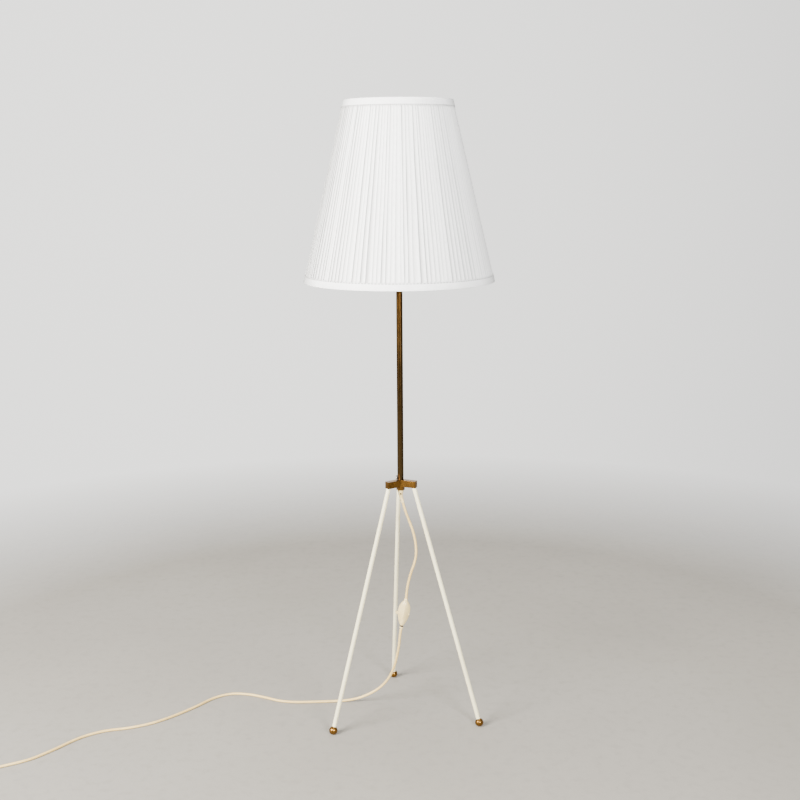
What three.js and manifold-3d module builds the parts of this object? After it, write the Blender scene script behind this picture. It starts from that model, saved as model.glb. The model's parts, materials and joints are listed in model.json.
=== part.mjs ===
// Tripod floor lamp: three lacquered legs with ball feet under a brass hub, a brass pole, a screw-cap
// lampholder with a pleated fabric shade, and a mains cord with an in-line push-bar switch and a plug.
// Millimetres, +Z up. The origin is on the floor, on the pole's axis. The lamp's front faces -Y.

import * as THREE from 'three';
import { mergeVertices } from 'three/addons/utils/BufferGeometryUtils.js';
import Module from 'manifold-3d';

const wasm = await Module();
wasm.setup();

// ---------------------------------------------------------------- driving dimensions

const gap = 0.3;                     // clearance between touching pieces
const roundSides = 16;               // facets around small turned pieces
const wideSides = 20;                // facets around larger ones

// Tripod
const hubUnderside = 568;
const hubThickness = 16;
const hubTop = hubUnderside + hubThickness;
const hubArmReach = 40;              // pole axis to each arm's end face
const hubArmHalfWidth = 7;
const hubInnerRound = 2;             // how far the round in each inner corner runs along the arms
const hubEdgeBevel = 1.2;
const legRadius = 5;
const legWall = 1;
const legTopRadius = 34.3;           // pole axis to a leg's axis, at the hub's underside
const footCircleRadius = 200;
const footBallRadius = 10;
const footCentreHeight = 9.3;        // less than the ball's radius, which leaves a small flat to stand on
const legAngles = { back: 96.15, left: 216.15, right: 336.15 };  // degrees about the pole, from +X
const studRadius = legRadius - legWall - gap;
const studLengthInLeg = 28;
const studLengthInHub = 10;

// Pole and its fixings
const poleRadius = 7.5;
const poleBore = 6.5;
const poleBottom = hubTop + gap;
const poleTop = 1230;
const threadRadius = 5;              // ten-millimetre lamp thread, drawn plain
const threadHole = threadRadius + gap;
const wireBore = 3.5;
const spigotHeight = 30;
const setScrewHeight = hubTop + 5.3;
const lockNutHeight = 7.5;
const lockNutAcrossFlats = 17;
const washerThickness = 0.8;

// Cord
const cordRadius = 3;
const gripTop = hubUnderside - washerThickness - lockNutHeight - 3 * gap;
const gripCollarBottom = 553;
const gripBodyBottom = 547;
const reliefLength = 20;
const reliefTilt = 15;               // degrees, towards +X, the way the cord hangs out of it
const reliefMouthRadius = 3.8;
const reliefRootRadius = 4.3;
const coilCentre = [-958, -259];
const coilRadius = 37;               // of the cord's centre line in the outermost turn
const coilInner = 24;
const coilOuter = 40;
const coilHeight = 12;
const coilClearance = 22;            // where a tangent cord is clear of the coil's outside
const plugAxisHeight = 6.85;

// Lampholder, measured up from its base on the pole's top bushing
const holderBase = poleTop + 2 + 2 * gap;
const holderRadius = 19.5;
const carrierHeight = holderBase + 45.7;   // middle of the shade carrier's flat ring
const carrierThickness = 2;
const ringNutThickness = 7;
const bulbTip = holderBase + 35.7;
const bulbRadius = 30;
const bulbLength = 105;

// Shade
const shadeTop = 1450;
const shadeBottom = 1049;
const shadeTopRadius = 122.3;
const shadeBottomRadius = 217.1;
const shadeSides = 48;
const ribCount = 6;
const spokeEvery = 2;                // a spoke meets every second rib
const firstRibAngle = 30;
const trimWidth = 16.5;
const trimTurnIn = 8;
const trimThickness = 0.6;
const coverInset = [0.9, 2.7];       // inward from the shade's outer cone, outside and inside faces
const frameInset = 4.5;
const ribInset = 4.2;
const ringWire = 1.5;
const ribWire = 1.2;
const liningInset = [5.7, 6.3];
const trimInset = [6.6, 7.2];        // the turned-in leg of a trim band

// In-line switch, in its own frame: +Z up along the cord, the push bar along X
const switchCentre = [5.3, 12, 247.5];
const switchTilt = 9.33;             // degrees, its top towards +X
const switchHalfLength = 30;
const switchCollarEnd = 38;
const switchHalfThickness = 9;
const barHalfHeight = 3.2;
const barHalfDepth = 3;
const barLeft = -20.5;
const barRight = 14;

// ---------------------------------------------------------------- geometry helpers

const radians = THREE.MathUtils.degToRad;

function polar(radius, degrees, height) {
  const angle = radians(degrees);
  return new THREE.Vector3(radius * Math.cos(angle), radius * Math.sin(angle), height);
}

// A turned solid about Z. Its profile runs from the axis, bottom to top, back to the axis.
function turned(profile, sides = roundSides) {
  const points = profile.map(([radius, height]) => new THREE.Vector2(radius, height));
  return new THREE.LatheGeometry(points, sides).rotateX(Math.PI / 2);
}

// A turned solid with a hole along Z. Its profile runs up its outside and down its inside.
function ring(profile, sides = roundSides) {
  return turned([...profile, profile[0]], sides);
}

function sleeve(inner, outer, bottom, top, sides = roundSides) {
  return ring([[inner, bottom], [outer, bottom], [outer, top], [inner, top]], sides);
}

function cylinder(radius, bottom, top, sides = roundSides) {
  return turned([[0, bottom], [radius, bottom], [radius, top], [0, top]], sides);
}

function block([x0, y0, z0], [x1, y1, z1]) {
  const box = new THREE.BoxGeometry(x1 - x0, y1 - y0, z1 - z0);
  return box.translate((x0 + x1) / 2, (y0 + y1) / 2, (z0 + z1) / 2);
}

function tube(curve, radius, steps, sides = 8) {
  const corners = [];
  for (let i = 0; i < sides; i += 1) {
    const angle = (2 * Math.PI * i) / sides;
    corners.push(new THREE.Vector2(radius * Math.cos(angle), radius * Math.sin(angle)));
  }
  return new THREE.ExtrudeGeometry(new THREE.Shape(corners), { steps, extrudePath: curve });
}

function rod(from, to, radius, sides = 8) {
  return tube(new THREE.LineCurve3(from, to), radius, 1, sides);
}

// An outline given the depth between two Z heights, with rounded edges inside that depth.
function plate(outline, bottom, top, bevel, curveSegments = 5, bevelSegments = 1) {
  const settings = {
    depth: top - bottom - 2 * bevel,
    bevelThickness: bevel,
    bevelSize: bevel,
    bevelOffset: -bevel,
    bevelSegments,
    curveSegments,
  };
  return new THREE.ExtrudeGeometry(outline, settings).translate(0, 0, bottom + bevel);
}

function toSolid(geometry) {
  const bare = geometry.clone();
  bare.deleteAttribute('normal');
  bare.deleteAttribute('uv');
  const merged = mergeVertices(bare, 1e-4);
  const corners = merged.index.array;
  const triangles = [];
  for (let i = 0; i < corners.length; i += 3) {
    const [a, b, c] = corners.slice(i, i + 3);
    if (a !== b && b !== c && c !== a) triangles.push(a, b, c);
  }
  const mesh = new wasm.Mesh({
    numProp: 3,
    vertProperties: new Float32Array(merged.attributes.position.array),
    triVerts: new Uint32Array(triangles),
  });
  return new wasm.Manifold(mesh);
}

function toGeometry(solid) {
  const mesh = solid.getMesh();
  const geometry = new THREE.BufferGeometry();
  geometry.setAttribute('position', new THREE.BufferAttribute(mesh.vertProperties, 3));
  geometry.setIndex(new THREE.BufferAttribute(mesh.triVerts, 1));
  return geometry;
}

function join(...shapes) {
  return toGeometry(shapes.map(toSolid).reduce((whole, next) => whole.add(next)));
}

function cut(shape, ...tools) {
  return toGeometry(tools.map(toSolid).reduce((rest, tool) => rest.subtract(tool), toSolid(shape)));
}

function common(shape, tool) {
  return toGeometry(toSolid(shape).intersect(toSolid(tool)));
}

// ---------------------------------------------------------------- materials

function finish(color, roughness, metalness) {
  return () => new THREE.MeshStandardMaterial({ color, roughness, metalness });
}

const brass = finish(0x8a6a35, 0.35, 1);
const whiteLacquer = finish(0xf1eee2, 0.35, 0);
const steel = finish(0x9a9a98, 0.4, 1);
const creamPlastic = finish(0xe9dcb8, 0.45, 0);
const creamCord = finish(0xe6d6ae, 0.5, 0);
const bakelite = finish(0x1c1715, 0.3, 0);
const ceramic = finish(0xe8e4da, 0.5, 0);
const frameWire = finish(0xe4e4e0, 0.45, 0.2);
const whiteFabric = finish(0xf4f3ef, 0.9, 0);
const whiteSatin = finish(0xf2f0ec, 0.6, 0);
const opalGlass = finish(0xf5f3ee, 0.15, 0);
const nickel = finish(0xc9c6bd, 0.3, 1);

// ---------------------------------------------------------------- assembly

const lamp = new THREE.Group();

function add(name, geometry, material, parent = lamp) {
  const mesh = new THREE.Mesh(geometry, material());
  mesh.name = name;
  parent.add(mesh);
  return mesh;
}

// A leg's own frame: origin at its foot ball's centre, +Z up along the leg.
function legPlacement(degrees) {
  const foot = polar(footCircleRadius, degrees, footCentreHeight);
  const top = polar(legTopRadius, degrees, hubUnderside);
  const up = new THREE.Vector3(0, 0, 1);
  const turn = new THREE.Quaternion().setFromUnitVectors(up, top.clone().sub(foot).normalize());
  return new THREE.Matrix4().compose(foot, turn, new THREE.Vector3(1, 1, 1));
}

const legLength = Math.hypot(footCircleRadius - legTopRadius, hubUnderside - footCentreHeight);

// ---- hub

// Three straight arms, with a small round where two arms meet.
function hubOutline() {
  const outline = new THREE.Shape();
  const innerReach = hubArmHalfWidth / Math.sin(radians(60));
  Object.values(legAngles).forEach((degrees, index) => {
    const tip = polar(hubArmReach, degrees, 0);
    const across = polar(hubArmHalfWidth, degrees + 90, 0);
    const enter = tip.clone().sub(across);
    const leave = tip.clone().add(across);
    if (index === 0) outline.moveTo(enter.x, enter.y);
    else outline.lineTo(enter.x, enter.y);
    outline.lineTo(leave.x, leave.y);
    const inner = polar(innerReach, degrees + 60, 0);
    const roundStart = polar(hubInnerRound, degrees, 0).add(inner);
    const roundEnd = polar(hubInnerRound, degrees + 120, 0).add(inner);
    outline.lineTo(roundStart.x, roundStart.y);
    outline.quadraticCurveTo(inner.x, inner.y, roundEnd.x, roundEnd.y);
  });
  return outline;
}

function makeHub() {
  const plateShape = plate(hubOutline(), hubUnderside, hubTop, hubEdgeBevel);
  const studHoles = Object.values(legAngles).map((degrees) => {
    const hole = cylinder(studRadius + gap, legLength - 20, legLength + studLengthInHub + gap);
    return hole.applyMatrix4(legPlacement(degrees));
  });
  const shankHole = cylinder(threadHole, hubUnderside - 5, hubTop + 5);
  add('hub_plate', cut(plateShape, shankHole, ...studHoles), brass);
}

// ---- legs

function makeLeg(side, degrees) {
  const placement = legPlacement(degrees);
  const tubeStart = 9.5;             // just above the ball, where it is narrower than the tube's bore
  const raw = sleeve(legRadius - legWall, legRadius, tubeStart, legLength + 10).applyMatrix4(placement);
  const underHub = block([-400, -400, 0], [400, 400, hubUnderside - gap]);
  add(`leg_${side}`, common(raw, underHub), whiteLacquer);

  const studBottom = legLength - studLengthInLeg;
  const studTop = legLength + studLengthInHub;
  const stud = turned([
    [0, studBottom],
    [studRadius - 0.8, studBottom],
    [studRadius, studBottom + 0.8],
    [studRadius, studTop - 0.8],
    [studRadius - 0.8, studTop],
    [0, studTop],
  ]);
  add(`leg_stud_${side}`, stud.applyMatrix4(placement), steel);

  const spigotTop = tubeStart + 14;
  const neckAngle = Math.asin(studRadius / footBallRadius);
  const profile = [];
  const arcSteps = 9;
  for (let i = 0; i <= arcSteps; i += 1) {
    const angle = (Math.PI - neckAngle) * (i / arcSteps);
    profile.push([footBallRadius * Math.sin(angle), -footBallRadius * Math.cos(angle)]);
  }
  profile.push([studRadius, spigotTop - 0.6], [studRadius - 0.6, spigotTop], [0, spigotTop]);
  const ball = turned(profile).applyMatrix4(placement);
  const belowFloor = block([-400, -400, -20], [400, 400, 0]);
  add(`foot_ball_${side}`, cut(ball, belowFloor), brass);
}

// ---- pole and the fixings at its foot

const shankBottom = gripCollarBottom + 1.5;

function makePole() {
  const outsidePole = new THREE.Vector3(-12, 0, setScrewHeight);
  const setScrewHole = rod(outsidePole, new THREE.Vector3(0, 0, setScrewHeight), 2.3);
  const poleTube = sleeve(poleBore, poleRadius, poleBottom, poleTop, wideSides);
  add('pole_tube', cut(poleTube, setScrewHole), brass);

  const spigotRadius = poleBore - gap;
  const spigot = ring([
    [wireBore, shankBottom],
    [threadRadius - 0.7, shankBottom],
    [threadRadius, shankBottom + 0.7],
    [threadRadius, poleBottom],
    [spigotRadius, poleBottom],
    [spigotRadius, poleBottom + spigotHeight - 1],
    [spigotRadius - 1, poleBottom + spigotHeight],
    [wireBore, poleBottom + spigotHeight],
  ]);
  add('hub_spigot', cut(spigot, setScrewHole), brass);

  const washerTop = hubUnderside - gap;
  const washer = sleeve(threadHole, 8.6, washerTop - washerThickness, washerTop);
  add('hub_lock_washer', washer, brass);

  const nutTop = washerTop - washerThickness - gap;
  const corner = lockNutAcrossFlats / Math.sqrt(3);
  const hexagon = new THREE.Shape();
  for (let i = 0; i < 6; i += 1) {
    const at = polar(corner, 60 * i, 0);
    if (i === 0) hexagon.moveTo(at.x, at.y);
    else hexagon.lineTo(at.x, at.y);
  }
  const nut = plate(hexagon, nutTop - lockNutHeight, nutTop, 0.5);
  add('hub_lock_nut', cut(nut, cylinder(threadHole, nutTop - 10, nutTop + 5)), brass);
}

// A slotted screw along Z: head from z = 0 up, shank below.
function slottedScrew(headRadius, headHeight, shankRadius, shankLength, slotWidth) {
  const body = turned([
    [0, -shankLength],
    [shankRadius - 0.4, -shankLength],
    [shankRadius, -shankLength + 0.4],
    [shankRadius, 0],
    [headRadius, 0],
    [headRadius, headHeight - 0.4],
    [headRadius - 0.4, headHeight],
    [0, headHeight],
  ], 12);
  const slotDepth = headHeight * 0.4;
  const slot = block(
    [-slotWidth / 2, -headRadius - 1, headHeight - slotDepth],
    [slotWidth / 2, headRadius + 1, headHeight + 1],
  );
  return cut(body, slot);
}

function makePoleSetScrew() {
  const headSeat = poleRadius + gap;
  const screw = slottedScrew(4, 3, 2, 3.4, 1);
  screw.rotateY(-Math.PI / 2).translate(-headSeat, 0, setScrewHeight);
  add('pole_set_screw', screw, steel);
}

// ---- cord grip, and the cord held inside the lamp

const reliefRoot = new THREE.Vector3(0, 0, gripBodyBottom);
const reliefDirection = new THREE.Vector3(Math.sin(radians(reliefTilt)), 0, -Math.cos(radians(reliefTilt)));
const cordExit = reliefRoot.clone().addScaledVector(reliefDirection, reliefLength);

function alongRelief(geometry) {
  const down = new THREE.Vector3(0, 0, -1);
  const turn = new THREE.Quaternion().setFromUnitVectors(down, reliefDirection);
  return geometry.applyMatrix4(new THREE.Matrix4().compose(reliefRoot, turn, new THREE.Vector3(1, 1, 1)));
}

function makeCordGrip() {
  const body = turned([
    [0, gripBodyBottom],
    [4.8, gripBodyBottom],
    [5.3, gripBodyBottom + 0.6],
    [5.3, gripCollarBottom],
    [6.2, gripCollarBottom],
    [6.8, gripCollarBottom + 0.8],
    [6.8, gripTop - 0.6],
    [6.2, gripTop],
    [0, gripTop],
  ]);
  const relief = alongRelief(turned([
    [0, -reliefLength],
    [reliefMouthRadius, -reliefLength],
    [reliefRootRadius, 0.5],
    [0, 2],
  ]));
  const cordBore = cordRadius + gap;
  const upperBore = cylinder(threadHole, shankBottom - gap, gripTop + 5);
  const lowerBore = cylinder(cordBore, gripBodyBottom, gripTop);
  const reliefBore = alongRelief(cylinder(cordBore, -reliefLength - 5, 0.5));
  const elbow = new THREE.SphereGeometry(cordBore + 0.05, 12, 8).translate(0, 0, gripBodyBottom + 0.1);
  const clampHeight = (gripBodyBottom + gripCollarBottom) / 2;
  const screwHole = rod(new THREE.Vector3(0, -8, clampHeight), new THREE.Vector3(0, -1, clampHeight), 2.1);
  const grip = cut(join(body, relief), upperBore, lowerBore, reliefBore, elbow, screwHole);
  add('cord_grip', grip, creamPlastic);

  const screw = slottedScrew(1.8, 1.2, 1.5, 0.5, 0.6);
  screw.rotateX(Math.PI / 2).translate(0, -cordBore - 0.5, clampHeight);
  add('cord_grip_screw', screw, steel);
}

const terminalOffset = 8;
const terminalHeight = holderBase + 15.5;

function makeInnerFlex() {
  const sheathTop = holderBase + 12;
  const sheathPath = new THREE.CatmullRomCurve3([
    cordExit,
    reliefRoot.clone().addScaledVector(reliefDirection, 6),
    new THREE.Vector3(0, 0, gripBodyBottom + 5),
    new THREE.Vector3(0, 0, gripTop),
    new THREE.Vector3(0, 0, hubTop),
  ]);
  const sheathRadius = cordRadius - 0.2;
  const lower = tube(sheathPath, sheathRadius, 8);
  const overlap = new THREE.Vector3(0, 0, hubTop - 5);
  const upper = rod(overlap, new THREE.Vector3(0, 0, sheathTop), sheathRadius);
  const cores = [-1, 1].map((side) => {
    const path = new THREE.CatmullRomCurve3([
      new THREE.Vector3(side * 1, 0, sheathTop - 4),
      new THREE.Vector3(side * 1.6, 0, sheathTop),
      new THREE.Vector3(side * terminalOffset, 0, terminalHeight - 0.6),
    ]);
    return tube(path, 0.8, 6, 8);
  });
  add('inner_flex', join(lower, upper, ...cores), creamCord);
}

// ---- lampholder

function makeLampholder() {
  const bushing = ring([
    [threadHole, poleTop - 18],
    [poleBore - gap, poleTop - 18],
    [poleBore - gap, poleTop + gap],
    [poleRadius, poleTop + gap],
    [poleRadius, poleTop + gap + 2],
    [threadHole, poleTop + gap + 2],
  ]);
  add('pole_top_bushing', bushing, brass);
  add('holder_nipple', sleeve(wireBore, threadRadius, poleTop - 14, holderBase + 8.4), steel);

  const cap = ring([
    [threadHole, holderBase],
    [8, holderBase],
    [8.6, holderBase + 5.5],
    [15, holderBase + 10.5],
    [holderRadius, holderBase + 17],
    [holderRadius, holderBase + 29],
    [17, holderBase + 29],
    [17, holderBase + 18.5],
    [13.5, holderBase + 12.5],
    [8.5, holderBase + 8.8],
    [threadHole, holderBase + 8.8],
  ], wideSides);
  add('holder_cap', cap, bakelite);

  const insertBottom = holderBase + 19;
  const insert = turned([
    [0, insertBottom],
    [16.5, insertBottom],
    [16.5, insertBottom + 8],
    [11.5, insertBottom + 8],
    [11.5, insertBottom + 12.5],
    [0, insertBottom + 12.5],
  ], wideSides);
  const screwRecesses = [-1, 1].map((side) => {
    return cylinder(2, insertBottom - 1, insertBottom + 5, 12).translate(side * terminalOffset, 0, 0);
  });
  add('holder_insert', cut(insert, ...screwRecesses), ceramic);

  const contactBottom = insertBottom + 12.5 + gap;
  const contact = block([-7, -2.5, contactBottom], [7, 2.5, contactBottom + 0.6]);
  const contactNib = cylinder(2.2, contactBottom + 0.3, bulbTip - gap);
  add('holder_centre_contact', join(contact, contactNib), brass);

  const shellBottom = insertBottom + 8 + gap;
  const shell = ring([
    [11.5 + gap, shellBottom],
    [14.4, shellBottom],
    [14.4, holderBase + 58],
    [13.8, holderBase + 58],
    [13.8, shellBottom + 0.6],
    [11.5 + gap, shellBottom + 0.6],
  ], wideSides);
  add('holder_screw_shell', shell, nickel);

  ['live', 'neutral'].forEach((name, index) => {
    const side = index === 0 ? -1 : 1;
    const screw = slottedScrew(2.6, 1.8, 1.6, 4.4, 0.7);
    screw.rotateX(Math.PI).translate(side * terminalOffset, 0, insertBottom - gap);
    add(`terminal_screw_${name}`, screw, brass);
  });

  const sleeveBottom = holderBase + 29 + gap;
  const holderSleeve = ring([
    [17.2, sleeveBottom],
    [21, sleeveBottom],
    [21, sleeveBottom + 4],
    [holderRadius, sleeveBottom + 5.5],
    [holderRadius, holderBase + 66],
    [holderRadius - 1, holderBase + 67],
    [17.2, holderBase + 67],
  ], wideSides);
  add('holder_sleeve', holderSleeve, bakelite);
}

// The ring nuts that clamp the shade carrier between them.
function makeRingNut(name, bottom, flangeUp) {
  const bore = holderRadius + gap;
  const collar = 23.5;
  const rim = 28.5;
  const top = bottom + ringNutThickness;
  const flange = 3.5;
  const outside = flangeUp
    ? [[collar, bottom], [collar, top - flange], [rim, top - flange], [rim, top]]
    : [[rim, bottom], [rim, bottom + flange], [collar, bottom + flange], [collar, top]];
  add(name, ring([[bore, bottom], ...outside, [bore, top]], wideSides), bakelite);
}

function makeRingNuts() {
  const halfCarrier = carrierThickness / 2 + gap;
  makeRingNut('shade_ring_nut_lower', carrierHeight - halfCarrier - ringNutThickness, true);
  makeRingNut('shade_ring_nut_upper', carrierHeight + halfCarrier, false);
}

// ---- light bulb

function makeBulb() {
  const capTop = bulbTip + 26.4;
  const tip = turned([[0, bulbTip], [2.6, bulbTip + 0.2], [4, bulbTip + 1.2], [0, bulbTip + 1.2]]);
  add('bulb_contact_tip', tip, brass);
  const insulator = turned([
    [0, bulbTip + 1.5],
    [4.6, bulbTip + 1.5],
    [6.2, bulbTip + 4.2],
    [6.2, bulbTip + 5.6],
    [0, bulbTip + 5.6],
  ]);
  add('bulb_insulator', insulator, bakelite);
  const screwCap = ring([
    [6.5, bulbTip + 4.2],
    [11, bulbTip + 4.2],
    [13.1, bulbTip + 6.6],
    [13.1, capTop - 1.8],
    [14, capTop],
    [13.4, capTop],
    [12.5, capTop - 2],
    [12.5, bulbTip + 7],
    [10.8, bulbTip + 4.8],
    [6.5, bulbTip + 4.8],
  ], wideSides);
  add('bulb_screw_cap', screwCap, nickel);

  const glassWall = 0.9;
  const neckBottom = capTop + gap;
  const outside = bulbOutline(neckBottom, 0, neckBottom);
  const inside = bulbOutline(neckBottom, glassWall, neckBottom - 1);
  add('bulb_glass', cut(turned(outside, wideSides), turned(inside, wideSides)), opalGlass);
}

// The glass bulb's profile, from the axis at the foot of its neck to its crown, drawn in by a wall.
function bulbOutline(neckBottom, wall, foot) {
  const profile = [
    [0, foot],
    [14 - wall, foot],
    [15 - wall, neckBottom + 7],
    [18.5 - wall, neckBottom + 18],
    [23.5 - wall, neckBottom + 28],
  ];
  const centre = bulbTip + bulbLength - bulbRadius;
  const lowest = -0.45;
  const steps = 8;
  for (let i = 0; i < steps; i += 1) {
    const angle = lowest + (Math.PI / 2 - lowest) * (i / steps);
    profile.push([(bulbRadius - wall) * Math.cos(angle), centre + (bulbRadius - wall) * Math.sin(angle)]);
  }
  profile.push([0, centre + bulbRadius - wall]);
  return profile;
}

// ---- shade

function coneRadius(height) {
  const share = (shadeTop - height) / (shadeTop - shadeBottom);
  return shadeTopRadius + (shadeBottomRadius - shadeTopRadius) * share;
}

// A skin between two insets from the shade's outer cone.
function coneSkin([outside, inside], bottom, top) {
  return ring([
    [coneRadius(bottom) - inside, bottom],
    [coneRadius(bottom) - outside, bottom],
    [coneRadius(top) - outside, top],
    [coneRadius(top) - inside, top],
  ], shadeSides);
}

// A fabric band folded over the shade's edge, outside and inside. Direction is +1 when it hangs down from
// the top edge and -1 when it stands up from the bottom edge.
function trimBand(edge, direction) {
  const outerEnd = edge - direction * trimWidth;
  const innerEnd = edge - direction * trimTurnIn;
  const fold = edge - direction * trimThickness;
  const at = (inset, height) => [coneRadius(height) - inset, height];
  const section = [
    at(0, outerEnd),
    at(0, edge),
    at(trimInset[1], edge),
    at(trimInset[1], innerEnd),
    at(trimInset[0], innerEnd),
    at(trimInset[0], fold),
    at(trimThickness, fold),
    at(trimThickness, outerEnd),
  ];
  return ring(direction > 0 ? section : section.reverse(), shadeSides);
}

function wireRing(height) {
  const sides = 6;
  const section = [];
  for (let i = 0; i < sides; i += 1) {
    const angle = (2 * Math.PI * i) / sides;
    const radius = coneRadius(height) - frameInset + ringWire * Math.cos(angle);
    section.push([radius, height + ringWire * Math.sin(angle)]);
  }
  return ring(section, shadeSides);
}

function makeShade() {
  const edgeDepth = trimThickness + gap;
  const ringTop = shadeTop - edgeDepth - ringWire;
  const ringBottom = shadeBottom + edgeDepth + ringWire;
  const insideTop = ringTop - ringWire - gap;
  const insideBottom = ringBottom + ringWire + gap;

  add('shade_cover', coneSkin(coverInset, shadeBottom + edgeDepth, shadeTop - edgeDepth), whiteFabric);
  add('shade_top_ring', wireRing(ringTop), frameWire);
  add('shade_bottom_ring', wireRing(ringBottom), frameWire);
  add('trim_band_top', trimBand(shadeTop, 1), whiteSatin);
  add('trim_band_bottom', trimBand(shadeBottom, -1), whiteSatin);

  const spokes = [];
  const slits = [];
  for (let i = 0; i < ribCount; i += 1) {
    const angle = firstRibAngle + (360 / ribCount) * i;
    const ribAt = (height) => polar(coneRadius(height) - ribInset, angle, height);
    add(`shade_rib_${i + 1}`, rod(ribAt(insideBottom + 0.5), ribAt(insideTop - 0.5), ribWire, 8), frameWire);
    if (i % spokeEvery === 0) {
      const reach = coneRadius(carrierHeight) - ribInset - ribWire - gap - 0.2;
      const start = polar(24, angle, carrierHeight);
      spokes.push(rod(start, polar(reach, angle, carrierHeight), carrierThickness / 2 + 0.4));
      slits.push(rod(start, polar(reach + 2, angle, carrierHeight), 2));
    }
  }
  const halfCarrier = carrierThickness / 2;
  const carrierRing = sleeve(20.2, 26.5, carrierHeight - halfCarrier, carrierHeight + halfCarrier, wideSides);
  const carrierSlab = block(
    [-200, -200, carrierHeight - halfCarrier],
    [200, 200, carrierHeight + halfCarrier],
  );
  const flatSpokes = spokes.map((spoke) => common(spoke, carrierSlab));
  add('shade_carrier', join(carrierRing, ...flatSpokes), frameWire);
  add('shade_lining', cut(coneSkin(liningInset, insideBottom, insideTop), ...slits), whiteFabric);
}

// ---- in-line switch

const switchFrame = new THREE.Group();
switchFrame.position.set(...switchCentre);
switchFrame.rotation.y = radians(switchTilt);
lamp.add(switchFrame);

function switchOutline() {
  const top = 6.6;
  const bottom = 4.6;
  const outline = new THREE.Shape();
  outline.moveTo(-top, switchHalfLength);
  outline.lineTo(top, switchHalfLength);
  outline.bezierCurveTo(18, 18, 17, -8, bottom, -switchHalfLength);
  outline.lineTo(-bottom, -switchHalfLength);
  outline.bezierCurveTo(-17, -8, -18, 18, -top, switchHalfLength);
  return outline;
}

function switchBody() {
  const crown = 4;
  const slab = plate(switchOutline(), -switchHalfThickness, switchHalfThickness, crown, 8, 2);
  slab.rotateX(Math.PI / 2);         // the outline's height now runs along Z, its depth along Y
  const beadTop = -switchCollarEnd + 4;
  const collar = turned([
    [0, -switchCollarEnd],
    [4.3, -switchCollarEnd],
    [4.9, -switchCollarEnd + 1],
    [4.9, beadTop - 1],
    [3.8, beadTop],
    [3.8, -switchHalfLength + 2],
    [4.9, switchHalfLength - 2],
    [4, switchCollarEnd],
    [0, switchCollarEnd],
  ]);
  const cordHole = cylinder(cordRadius + 0.2, 10, 60, 12);
  const lowerCordHole = cordHole.clone().translate(0, 0, -70);
  const cavity = block([-8.5, -5.5, -12], [8.5, 5.5, 12]);
  const barHole = block(
    [-30, -barHalfDepth - gap, -barHalfHeight - gap],
    [30, barHalfDepth + gap, barHalfHeight + gap],
  );
  return cut(join(slab, collar), cordHole, lowerCordHole, cavity, barHole);
}

const switchScrews = [[6.6, -15.5], [-6.6, 15.5]];

function makeSwitch() {
  const body = switchBody();
  const screwHoles = switchScrews.map(([x, z]) => {
    const shank = cylinder(1.4 + gap, -7, 20, 12);
    const head = cylinder(2.4 + gap, -20, -switchHalfThickness + 2.6);
    return join(shank, head).rotateX(Math.PI / 2).translate(x, 0, z);
  });
  const shankStop = -5;
  const front = block([-40, -40, -60], [40, -gap / 2, 60]);
  const back = block([-40, gap / 2, -60], [40, 40, 60]);
  const frontHoles = screwHoles.map((hole) => common(hole, block([-40, shankStop, -60], [40, 40, 60])));
  const frontShell = cut(common(body, front), ...frontHoles);
  const backShell = cut(common(body, back), ...screwHoles);
  add('switch_shell_front', frontShell, creamPlastic, switchFrame);
  add('switch_shell_back', backShell, creamPlastic, switchFrame);

  const bar = plate(barOutline(), -barHalfDepth, barHalfDepth, 0.6).rotateX(Math.PI / 2);
  add('switch_push_bar', bar, creamPlastic, switchFrame);

  const bridgeFace = barHalfDepth + gap + 0.1;
  const bridge = block([-6, bridgeFace, -9], [-1, bridgeFace + 0.6, 9]);
  add('switch_contact_bridge', bridge, brass, switchFrame);
  [['upper', 6], ['lower', -11.5]].forEach(([name, bottom]) => {
    const face = bridgeFace + 0.6 + gap;
    const strip = block([1, face, bottom], [6, face + 0.8, bottom + 5.5]);
    add(`switch_contact_${name}`, strip, brass, switchFrame);
  });
  switchScrews.forEach(([x, z], index) => {
    const headTop = switchHalfThickness - 0.6;
    const headHeight = 1.7;
    const shankLength = headTop - headHeight + 4;
    const screw = slottedScrew(2.4, headHeight, 1.4, shankLength, 0.7);
    screw.rotateX(-Math.PI / 2).translate(x, headTop - headHeight, z);
    add(`switch_screw_${index + 1}`, screw, steel, switchFrame);
  });
}

function barOutline() {
  const outline = new THREE.Shape();
  const round = 1.8;
  outline.moveTo(barLeft + round, -barHalfHeight);
  outline.lineTo(barRight - round, -barHalfHeight);
  outline.quadraticCurveTo(barRight, -barHalfHeight, barRight, 0);
  outline.quadraticCurveTo(barRight, barHalfHeight, barRight - round, barHalfHeight);
  outline.lineTo(barLeft + round, barHalfHeight);
  outline.quadraticCurveTo(barLeft, barHalfHeight, barLeft, 0);
  outline.quadraticCurveTo(barLeft, -barHalfHeight, barLeft + round, -barHalfHeight);
  return outline;
}

// ---- free cord, its coil and its plug

const upperCordRoute = [
  [7.8, 0, 518],
  [12.5, 0.6, 502.5],
  [20.3, 1.8, 481],
  [28.7, 3, 456],
  [34.4, 4, 428],
  [35.9, 5, 402],
  [32.4, 6.5, 379],
  [22.5, 8.5, 348],
  [15, 10.6, 316],
  [12.6, 11.7, 297],
];

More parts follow.
